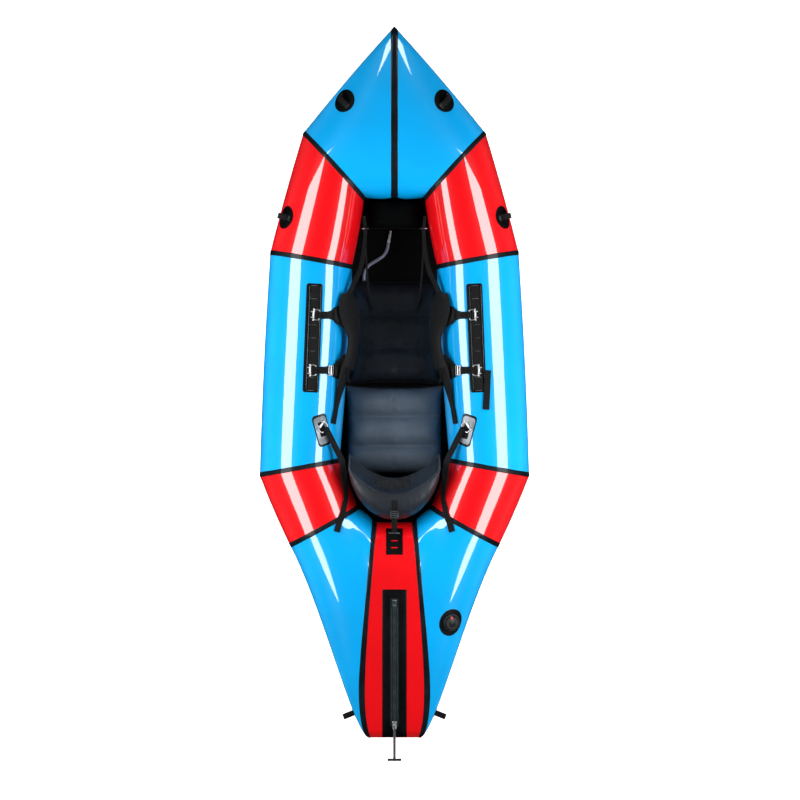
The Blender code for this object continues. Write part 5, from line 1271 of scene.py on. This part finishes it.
# Name, finish, node, size, middle's y, cross channels, pressure and the cloth's shrinkage of each cushion.
CUSHIONS = (
    ("seat_cover", "seat", "seat_cushion", (0.352, 0.324, 0.088), -0.125005, 3, 14, -0.012),
    ("leg_pad_cover", "leg", "leg_pad", (0.330, 0.372, 0.046), 0.223295, 3, 9, -0.012),
    ("foot_brace_cover", "brace", "foot_brace", (0.200, 0.098, 0.150), 0.634026, 0, 6, -0.02),
)
CHANNEL_DEPTH = 0.42
CUSHION_CELL = 0.005
CUSHION_MOVE = 0.010
CLOTH_STEPS = 20
CLOTH = {
    "quality": 4, "mass": 0.2, "tension_stiffness": 12, "compression_stiffness": 12, "shear_stiffness": 4,
    "bending_stiffness": 0.05, "use_pressure": True,
}


def pillow_shape(top, bottom, flat):
    """Two grids of points that share their rim, as one closed shape; flat gives the cloth's own metres."""
    rows, columns = top.shape[:2]
    index = np.arange(rows * columns).reshape(rows, columns)
    under = index + rows * columns
    under[[0, -1]] = index[[0, -1]]
    under[:, [0, -1]] = index[:, [0, -1]]
    quads = np.concatenate([cells(sheet).reshape(-1, 4) for sheet in (index, under[:, ::-1])])
    points = np.concatenate((top.reshape(-1, 3), bottom.reshape(-1, 3)))
    return quad_shape(points, quads, np.tile(flat.reshape(-1, 2), (2, 1)))


def rim_of(grid):
    """The points round a grid's edge."""
    return np.concatenate((grid[0], grid[1:, -1], grid[-1, -2::-1], grid[-2:0:-1, 0]))


def cushion_grids(size, centre_y, channels):
    """Top and bottom of an inflated pad: a crown that falls by a root to its rim and by the root of a sine
    into each cross channel, its sides drawn in by parabolas, its underside flat."""
    width, length, height = size
    a = np.linspace(-1, 1, 2 * round(width / CUSHION_CELL / 2) + 1)[None, :]
    b = np.linspace(-1, 1, 2 * round(length / CUSHION_CELL / 2) + 1)[:, None]
    x = a * width / 2 * (1 - DRAW * (1 - b**2))
    y = centre_y + b * length / 2 * (1 - DRAW * (1 - a**2))
    rim = np.sqrt(np.clip((1 - np.abs(a) ** 5) * (1 - np.abs(b) ** 8), 0, 1))
    wave = np.abs(np.sin(channels * math.pi * (b + 1) / 2)) ** 0.5 if channels else 1 + 0 * b
    crown = rim * (1 - CHANNEL_DEPTH + CHANNEL_DEPTH * wave)
    middle = BASE + height * 0.35
    top = middle + (BASE + height - middle) * crown
    bottom = middle + (BASE - middle) * np.minimum(1, 2 * rim)
    flat = np.stack(np.broadcast_arrays(a * width / 2, b * length / 2), -1)
    pinned = (np.abs(a) > 0.985) | (np.abs(b) > 0.985) | (wave < 0.32)
    top, bottom = (np.stack(np.broadcast_arrays(x, y, z), -1) for z in (top, bottom))
    return top, bottom, flat, pinned


def vectors_of(items, name="co"):
    """A vector value of all items of a mesh, as rows."""
    values = np.empty(len(items) * 3, np.float32)
    items.foreach_get(name, values)
    return values.reshape(-1, 3)


def swell(piece, pinned, pressure, limit, slack):
    """The points of a closed cloth, blown up by the cloth solver with its pinned points held and each
    point's move limited. pinned is a grid: the top's points come first, then the bottom's but its rim's."""
    points = vectors_of(piece.data.vertices)
    inner = np.ones_like(pinned)
    inner[[0, -1]] = False
    inner[:, [0, -1]] = False
    below = np.flatnonzero(pinned[inner])
    group = piece.vertex_groups.new(name="seams")
    group.add(np.concatenate((np.flatnonzero(pinned), pinned.size + below)).tolist(), 1.0, "REPLACE")
    modifier = piece.modifiers.new("cloth", "CLOTH")
    settings = modifier.settings
    for name, value in CLOTH.items():
        setattr(settings, name, value)
    settings.uniform_pressure_force = pressure
    settings.shrink_min = slack
    settings.vertex_group_mass = "seams"
    settings.effector_weights.gravity = 0
    modifier.point_cache.frame_start, modifier.point_cache.frame_end = 1, CLOTH_STEPS
    scene = bpy.context.scene
    for step in range(1, CLOTH_STEPS + 1):
        scene.frame_set(step)
    solved = piece.evaluated_get(bpy.context.evaluated_depsgraph_get())
    move = vectors_of(solved.to_mesh().vertices) - points
    solved.to_mesh_clear()
    move *= np.minimum(1, limit / np.maximum(np.linalg.norm(move, axis=1, keepdims=True), 1e-9))
    piece.modifiers.remove(modifier)
    piece.vertex_groups.remove(group)
    scene.frame_set(1)
    return points + move


def keep_inside(piece, points, node):
    """Writes the points, held in the CAD node's box, to the mesh, and adds one smooth subdivision."""
    low, high = (np.array(corner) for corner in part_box(node))
    points = np.clip(points, low + 0.0002, high - 0.0002)
    piece.data.vertices.foreach_set("co", points.astype(np.float32).ravel())
    piece.data.update()
    modifier = piece.modifiers.new("smooth", "SUBSURF")
    modifier.levels = modifier.render_levels = 1


class PACKRAFT_OT_cushions(bpy.types.Operator):
    """Builds the seat with its three tubes, the leg pad and the foot brace, blown up as cloth"""

    bl_idname = "packraft.cushions"
    bl_label = "Seat, leg pad and foot brace"

    def execute(self, context):
        for name, key, node, size, centre_y, channels, pressure, slack in CUSHIONS:
            top, bottom, flat, pinned = cushion_grids(size, centre_y, channels)
            middle = np.array((0, centre_y, BASE + size[2] / 2))
            top, bottom = middle + (top - middle) * 0.985, middle + (bottom - middle) * 0.985
            piece = add_piece(name, pillow_shape(top, bottom, flat), key, node, sharp_deg=180)
            keep_inside(piece, swell(piece, pinned, pressure, CUSHION_MOVE, slack), node)
            piping = wire(middle + (rim_of(top) - middle) * (1.004, 1.004, 1), 0.0017, 8, closed=True)
            add_piece(f"{name}_piping", piping, "webbing")
        return {"FINISHED"}


BACK_SIZE = (0.320, 0.205)
BACK_SWEEP = 0.089
BACK_RIM_Y = -0.34607
BACK_BASE = 0.095
BACK_LEAN = math.tan(math.radians(14))
REAR_BULGE = 0.108
FRONT_BULGE = 0.018
# The mesh panel's half width, its middle's height and its half height.
MESH_PANEL = (0.062, 0.215, 0.055)
BACK_PIPING = 0.0034
STRAP_BAR_PLACE = (6.0, 0.0628)
STRAP_BAR_LIFT = 0.0043
STRAP_BAR_HALF = 0.0195
STRAP_BAR = ((0, 0.0012), (0.02, 0.0022), (0.98, 0.0022), (1, 0.0012))
# Width and thickness of the backrest's webbing and of the layer sewn on it.
BACK_WEB = (0.020, 0.0016)
BACK_WEB_DOUBLE = (0.0185, 0.0014)


def backrest_points(a, b, bulge):
    """A point of the backrest: a across from -1 to 1, b up from 0 to 1, bulge forward of its rim's sheet."""
    width, height = BACK_SIZE
    z = BACK_BASE + height * b + 0.22 * height * a**2 * (1 - b)
    rim = np.sqrt(np.clip((1 - np.abs(a) ** 4) * (1 - np.abs(2 * b - 1) ** 3), 0, 1))
    y = BACK_RIM_Y + BACK_SWEEP * a**2 + BACK_LEAN * height * (1 - b) + rim * bulge
    return np.stack(np.broadcast_arrays(a * width / 2, y, z), -1)


class PACKRAFT_OT_backrest(bpy.types.Operator):
    """Builds the backrest with its piped rim and mesh panel, its strap with a slide, and the bar"""

    bl_idname = "packraft.backrest"
    bl_label = "Backrest"

    def execute(self, context):
        self.cover()
        point = skin(*STRAP_BAR_PLACE, STRAP_BAR_LIFT)
        half = np.array((STRAP_BAR_HALF, 0, 0))
        bar = rod(point - half, point + half, STRAP_BAR)
        add_piece("strap_bar_steel", bar, "steel", "strap_bar", "backrest")
        levels = (1 - np.cos(np.array((5, 6, 7)) / 8 * math.pi)) / 2
        lower, top, upper = backrest_points(np.zeros(3), levels, -REAR_BULGE)
        facing = unit(np.cross(upper - lower, (1, 0, 0)))
        top = top - facing * 0.0011
        pull = unit(top - point)
        aloft = unit(np.cross((1, 0, 0), pull))
        end = point + 0.0025 * pull
        near, middle = end + (top - end) / 3, end + (top - end) * 2 / 3 + 0.0016 * aloft
        rows = smooth_route([(*top, *-facing), (*middle, *aloft), (*near, *aloft), (*end, *aloft)], 10)
        layers = [web(rows, *BACK_WEB), web(rows, *BACK_WEB_DOUBLE, slice(10, None), DOUBLED)]
        add_piece("backrest_webbing", layers, "webbing", "backrest_strap", "backrest", 50)
        over = backrest_points(np.zeros(24), np.linspace(0.995, levels[1] + 0.004, 24), -REAR_BULGE)
        out = unit(np.cross(np.gradient(over, axis=0), (-1, 0, 0)))
        out *= np.sign(out[:, 2:])
        rows = np.column_stack((over + 0.0012 * out, out))
        layers = [web(rows, *BACK_WEB), web(rows, *BACK_WEB_DOUBLE, slice(7, 20), DOUBLED)]
        add_piece("backrest_top_webbing", layers, "webbing", None, "backrest", 50)
        size, bars = (0.026, 0.026, 0.004), (-0.0045, 0.0045)
        slide = slide_shapes(rows, 13, 0.0034, size, 0.0019, bars, 0.012, 0.0004)
        add_piece("backrest_slide", slide, "slide", None, "backrest")
        return {"FINISHED"}

    def cover(self):
        """The blown-up cover with its mesh panel, and the piping round it."""
        a = np.linspace(-1, 1, 65)[None, :]
        b = (1 - np.cos(np.linspace(0, 1, 45)[:, None] * math.pi)) / 2
        rear, front = backrest_points(a, b, -REAR_BULGE * 0.97), backrest_points(a, b, FRONT_BULGE * 0.9)
        width, height = BACK_SIZE
        flat = np.stack(np.broadcast_arrays(a * width / 2, b * height), -1)
        pinned = (np.abs(a) > 0.98) | (b < 0.004) | (b > 0.996)
        shape = pillow_shape(rear, front, flat)
        piece = add_piece("backrest_cover", shape, "back", "backrest", "backrest", 180)
        piece.data.materials.append(finish("mesh"))
        x, y, z = vectors_of(piece.data.polygons, "center").T
        sheet_y = backrest_points(2 * x / width, (z - BACK_BASE) / height, 0.0)[:, 1]
        half, middle_z, half_z = MESH_PANEL
        panel = (y > sheet_y) & (np.abs(x) < half) & (np.abs(z - middle_z) < half_z)
        piece.data.polygons.foreach_set("material_index", panel.astype(np.int32))
        keep_inside(piece, swell(piece, pinned, 8, 0.006, -0.004), "backrest")
        low, high = (np.array(corner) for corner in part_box("backrest"))
        rim = np.clip(rim_of(rear), low + BACK_PIPING + 0.0002, high - BACK_PIPING - 0.0002)
        add_piece("backrest_piping", wire(rim, BACK_PIPING, closed=True), "piping", None, "backrest")


LADDER_HALF = 0.029
LADDER_TURNS = (0.0454, 0.111)
SLOT_HALF = 0.0115
SLOT_TURNS = (0.0805, 0.0962)
SLOT_HEIGHT = 0.005


def deck_points(across, turn, lift):
    """Points over the stern's centreline: metres across it, at a turn, raised by lift."""
    across, turn = np.broadcast_arrays(np.asarray(across, float), np.asarray(turn, float))
    return skin(6.0 - across / np.linalg.norm(hull_along(6.0, turn), axis=-1), turn, lift)


def pierced_sheet(across, turns, holes, low, high):
    """A flat sheet on the deck with rectangular holes: top, bottom and walls of every cell that is kept."""
    rows, columns = len(turns), len(across)
    kept = np.ones((rows + 1, columns + 1), bool)
    kept[[0, -1]] = False
    kept[:, [0, -1]] = False
    middle_x, middle_t = (across[1:] + across[:-1]) / 2, (turns[1:] + turns[:-1]) / 2
    for x0, x1, t0, t1 in holes:
        within = ((middle_t > t0) & (middle_t < t1))[:, None] & ((middle_x > x0) & (middle_x < x1))[None, :]
        kept[1:-1, 1:-1] &= ~within
    index = np.arange(rows * columns).reshape(rows, columns)
    count = rows * columns
    top = cells(index)[kept[1:-1, 1:-1]]
    quads = [top, top[:, ::-1] + count]
    before, after, start, end = kept[:-1, 1:-1], kept[1:, 1:-1], index[:, :-1], index[:, 1:]
    walls = [(after & ~before, end, start), (before & ~after, start, end)]
    before, after, start, end = kept[1:-1, :-1], kept[1:-1, 1:], index[:-1], index[1:]
    walls += [(after & ~before, start, end), (before & ~after, end, start)]
    for mask, a, b in walls:
        quads.append(np.stack((a[mask], b[mask], b[mask] + count, a[mask] + count), -1))
    grid_x, grid_t = np.meshgrid(across, turns)
    points = np.concatenate([deck_points(grid_x, grid_t, lift).reshape(-1, 3) for lift in (high, low)])
    flat = np.column_stack((grid_x.ravel(), grid_t.ravel() * 1.2))
    return quad_shape(points, np.concatenate(quads), np.tile(flat, (2, 1)))


class PACKRAFT_OT_ladder(bpy.types.Operator):
    """Builds the ladder patch behind the backrest, with its two slots"""

    bl_idname = "packraft.ladder"
    bl_label = "Ladder patch"

    def execute(self, context):
        half_slot = SLOT_HEIGHT / 2 / np.linalg.norm(hull_across(6.0, 0.08))
        holes = [(-SLOT_HALF, SLOT_HALF, turn - half_slot, turn + half_slot) for turn in SLOT_TURNS]
        spans = ((-LADDER_HALF, -SLOT_HALF, 7), (-SLOT_HALF, SLOT_HALF, 9), (SLOT_HALF, LADDER_HALF, 7))
        across = np.unique(np.concatenate([np.linspace(*span) for span in spans]))
        marks = [LADDER_TURNS[0], *(turn for hole in holes for turn in hole[2:]), LADDER_TURNS[1]]
        turns = np.unique(np.concatenate([np.linspace(one, two, 7) for one, two in zip(marks, marks[1:])]))
        sheet = pierced_sheet(across, turns, holes, PATCH_LOW, PATCH_TOP)
        add_piece("ladder_film", sheet, "patch", "ladder_patch")
        return {"FINISHED"}


ZIP_AXES = np.array(((1, 0, 0), (0, 0.99143, -0.13066), (0, 0.13066, 0.99143)))
ZIP_FRAME = (ZIP_AXES, np.array((0, -0.70669, 0.26783)))
SLIDER_FRAME = (ZIP_AXES, np.array((0, -1.1484, 0.20971)))
PULL_FRAME = (ZIP_AXES, SLIDER_FRAME[1] + 0.0127 * ZIP_AXES[:, 2])
ZIP_PATCH_WIDTH = 0.085
ZIP_PATCH_TURNS = (0.18226, 0.492)
ZIP_PATCH_ACROSS = np.array((-0.5, -0.49, -0.3, -0.1, 0.1, 0.3, 0.49, 0.5, 0.49, 0, -0.49))
ZIP_PATCH_LIFTS = np.array((0.5, 0.95, 1, 1, 1, 1, 0.95, 0.5, 0.05, 0.05, 0.05))
ZIP_LENGTH = 0.452
ZIP_TOOTH = 0.0034
ZIP_SEAM_X = 0.0095
# Sections of the zip's tape and of one rail: x and z in the zip's frame.
ZIP_TAPE = np.array((
    (-0.015, 0.0002), (-0.0148, 0.0009), (-0.005, 0.001), (0, 0.001), (0.005, 0.001), (0.0148, 0.0009),
    (0.015, 0.0002), (0.0148, 0), (0, 0), (-0.0148, 0),
))
ZIP_RAIL = np.array((
    (0.0006, 0.0008), (0.0006, 0.0026), (0.0010, 0.0031), (0.0022, 0.0032), (0.0034, 0.0030),
    (0.00375, 0.0024), (0.00375, 0.0008),
))
# Lowest and highest corners of the blocks of the slider and their roundings.
SLIDER_BLOCKS = (
    ((-0.0075, -0.012, 0.0037), (0.0075, 0.012, 0.0085), 0.0012),
    ((-0.0075, -0.0118, 0.0014), (-0.00425, 0.0118, 0.0060), 0.0006),
    ((0.00425, -0.0118, 0.0014), (0.0075, 0.0118, 0.0060), 0.0006),
    ((-0.0055, -0.0032, 0.0070), (-0.0035, 0.0032, 0.0155), 0.0005),
    ((0.0035, -0.0032, 0.0070), (0.0055, 0.0032, 0.0155), 0.0005),
)
# Radius and x of the pull's eye, and the toggle's shares of length and radii.
PULL_EYE = np.array((
    (0.0019, -0.0031), (0.0030, -0.0031), (0.0032, -0.0027), (0.0032, 0.0027), (0.0030, 0.0031),
    (0.0019, 0.0031),
))
TOGGLE = (
    (0, 0.0010), (0.008, 0.0030), (0.03, 0.0041), (0.06, 0.0045), (0.34, 0.0043), (0.36, 0.0045),
    (0.64, 0.0045), (0.66, 0.0043), (0.94, 0.0045), (0.97, 0.0041), (0.992, 0.0030), (1, 0.0010),
)


class PACKRAFT_OT_zip(bpy.types.Operator):
    """Builds the zip: its patch, its tape with two toothed rails, the dock, the slider and the pull"""

    bl_idname = "packraft.zip"
    bl_label = "Zip"

    def execute(self, context):
        across = ZIP_PATCH_ACROSS * ZIP_PATCH_WIDTH
        turns = np.linspace(*ZIP_PATCH_TURNS, 90)[:, None]
        lift = ZIP_PATCH_LIFTS * PATCH_THICK + PATCH_LOW
        film = grid_shape(deck_points(across[None, :], turns, lift[None, :] + 0 * turns), across=across)
        add_piece("zip_patch_film", film, "patch", "zip_patch", sharp_deg=80)
        y = np.linspace(0, -ZIP_LENGTH, 60)[:, None]
        local = np.stack(np.broadcast_arrays(ZIP_TAPE[:, 0], y, ZIP_TAPE[:, 1]), -1)
        tape = grid_shape(placed(ZIP_FRAME, local), across=ZIP_TAPE[:, 0])
        y = np.linspace(-0.0295, -ZIP_LENGTH + 0.0004, 1140)[:, None]
        teeth = np.clip(0.5 + 1.4 * np.sin(2 * math.pi * y / ZIP_TOOTH), 0, 1)
        x, z = ZIP_RAIL.T
        height = z[0] + (z - z[0]) * (0.68 + 0.32 * teeth)
        rails = []
        for side in (-1, 1):
            local = np.stack(np.broadcast_arrays(side * x, y, height), -1)
            rails.append(grid_shape(placed(ZIP_FRAME, local), across=x))
        y = np.linspace(-0.0300, -ZIP_LENGTH + 0.0004, 40)
        normals = np.repeat(ZIP_AXES[:, 2][None], len(y), 0)
        for x in (-ZIP_SEAM_X, ZIP_SEAM_X):
            seam = placed(ZIP_FRAME, np.column_stack((x + 0 * y, y, 0.0013 + 0 * y)))
            rails.append(band(seam, normals, 0.0018, 0.0007))
        rails.append(block(ZIP_FRAME, (-0.008, -0.0298, 0.0006), (0.008, -0.0002, 0.006), 0.0014))
        add_piece("zip_tape", tape, "zip_tape", "zip_chain")
        add_piece("zip_rails", rails, "zip", sharp_deg=35)
        staples = []
        for y in (-0.006, -0.0215):
            ends = placed(ZIP_FRAME, [(-0.0065, y, 0.0060), (0.0065, y, 0.0060)])
            staples.append(rod(*ends, ((0, 0.0006), (0.1, 0.0010), (0.9, 0.0010), (1, 0.0006)), 8))
        add_piece("zip_dock_staples", staples, "steel")
        body = [block(SLIDER_FRAME, *values) for values in SLIDER_BLOCKS]
        ends = placed(SLIDER_FRAME, [(-0.0050, 0, 0.0127), (0.0050, 0, 0.0127)])
        body.append(rod(*ends, ((0, 0.0014), (1, 0.0014)), 12))
        add_piece("zip_slider_body", body, "steel", "zip_slider", "zip_slider", 35)
        axes, origin = PULL_FRAME
        eye = turned((axes[:, [1, 2, 0]], origin), PULL_EYE, 24, loop=True)
        link = even_box(0.0115, 0.0120, 0.0050, 0.0008) + (0, -0.0085)
        shapes = [eye, bent_ring(PULL_FRAME, link, 0.0012)]
        add_piece("zip_pull_eye", shapes, "steel", "zip_pull", "zip_pull")
        y = np.linspace(-0.0112, -0.1215, 50)
        line = placed(PULL_FRAME, np.column_stack((0 * y, y, 0 * y)))
        widths = np.interp(-y, (0.0112, 0.018, 0.12), (0.0066, 0.009, 0.009))
        braid = band(line, np.repeat(axes[:, 2][None], len(y), 0), widths, 0.0033)
        add_piece("zip_pull_braid", braid, "braid", None, "zip_pull", 60)
        toggle = rod(*placed(PULL_FRAME, [(-0.0245, -0.122, 0), (0.0245, -0.122, 0)]), TOGGLE, 24)
        add_piece("zip_pull_toggle", toggle, "rubber", None, "zip_pull")
        return {"FINISHED"}


VALVE = (4.518, 0.3549)
VALVE_PATCH_RADIUS = 0.0485
# The cap's axis, as the frame's joint has it.
CAP_POINT = (0.19619, -0.78956, 0.2451)
CAP_AXIS = (0.38949, -0.1907, 0.90107)
# Radius and height rows of the valve's body and its cap.
VALVE_RING = np.array((
    (0.0261, 0.0008), (0.0305, 0.0008), (0.0302, 0.0070), (0.0296, 0.0090), (0.0280, 0.0098),
    (0.0266, 0.0095), (0.0261, 0.0085),
))
VALVE_CAP = np.array((
    (0.002, 0.0026), (0.0225, 0.0026), (0.0236, 0.0032), (0.0239, 0.0045), (0.0239, 0.0118),
    (0.0235, 0.0133), (0.0225, 0.0142), (0.0195, 0.0143), (0.0185, 0.0134), (0.0100, 0.0132),
    (0.0092, 0.0138), (0.0030, 0.0140),
))
GRIPS = 12
GRIP_FROM = 0.0230


class PACKRAFT_OT_valve(bpy.types.Operator):
    """Builds the valve: its welded round patch, its ribbed body and the turning cap with its red tab"""

    bl_idname = "packraft.valve"
    bl_label = "Valve"

    def execute(self, context):
        disc = patch(*VALVE, circle(VALVE_PATCH_RADIUS, 64) * (1, 0.86), 0, PATCH_LOW, 0.0011)
        add_piece("valve_patch", disc, "patch", "valve_base")
        axes, origin = tube_frame(*VALVE)
        add_piece("valve_body", turned((axes, origin), VALVE_RING, 96, loop=True), "rubber")
        angles = np.arange(96) / 96 * 2 * math.pi
        grips = 1 - 0.06 * np.clip(0.5 - 1.5 * np.cos(GRIPS * angles), 0, 1)
        point, aloft = np.array(CAP_POINT), unit(np.array(CAP_AXIS))
        ahead = unit(axes[:, 1] - axes[:, 1] @ aloft * aloft)
        middle = point + (origin - point) @ aloft * aloft
        cap_at = np.column_stack((np.cross(ahead, aloft), ahead, aloft)), middle
        cap = turned(cap_at, VALVE_CAP, 96, np.where(VALVE_CAP[:, :1] > GRIP_FROM, grips, 1))
        add_piece("valve_cap_shell", cap, "rubber", "valve_cap", "valve_cap")
        tab = block(cap_at, (-0.0243, -0.0035, 0.0125), (-0.0125, 0.0035, 0.0163), 0.0008)
        add_piece("valve_cap_tab", tab, "red_tab", None, "valve_cap")
        return {"FINISHED"}


OPERATORS = (
    PACKRAFT_OT_stage, PACKRAFT_OT_hose, PACKRAFT_OT_hull, PACKRAFT_OT_tapes, PACKRAFT_OT_floor,
    PACKRAFT_OT_loops, PACKRAFT_OT_strap_patches, PACKRAFT_OT_buckles, PACKRAFT_OT_straps,
    PACKRAFT_OT_cushions, PACKRAFT_OT_backrest, PACKRAFT_OT_ladder, PACKRAFT_OT_zip, PACKRAFT_OT_valve,
)


class PACKRAFT_PT_panel(bpy.types.Panel):
    """Lists the packraft's sizes, colours and operators"""

    bl_idname = "PACKRAFT_PT_panel"
    bl_label = "Packraft"
    bl_space_type = "VIEW_3D"
    bl_region_type = "UI"
    bl_category = "Packraft"

    def draw(self, context):
        for group in (context.scene.packraft_sizes, context.scene.packraft_colours):
            for name in group.__annotations__:
                self.layout.prop(group, name)
        for operator in OPERATORS:
            self.layout.operator(operator.bl_idname)


CLASSES = (PackraftSizes, PackraftColours, *OPERATORS, PACKRAFT_PT_panel)


def register():
    """Registers the classes and gives the scene its sizes and colours."""
    for cls in CLASSES:
        bpy.utils.register_class(cls)
    bpy.types.Scene.packraft_sizes = PointerProperty(type=PackraftSizes)
    bpy.types.Scene.packraft_colours = PointerProperty(type=PackraftColours)


def unregister():
    """Takes back what register gave."""
    del bpy.types.Scene.packraft_colours
    del bpy.types.Scene.packraft_sizes
    for cls in reversed(CLASSES):
        bpy.utils.unregister_class(cls)


def main():
    """Registers the add-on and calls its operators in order."""
    register()
    for operator in OPERATORS:
        kind, name = operator.bl_idname.split(".")
        getattr(getattr(bpy.ops, kind), name)()


if __name__ == "__main__":
    main()
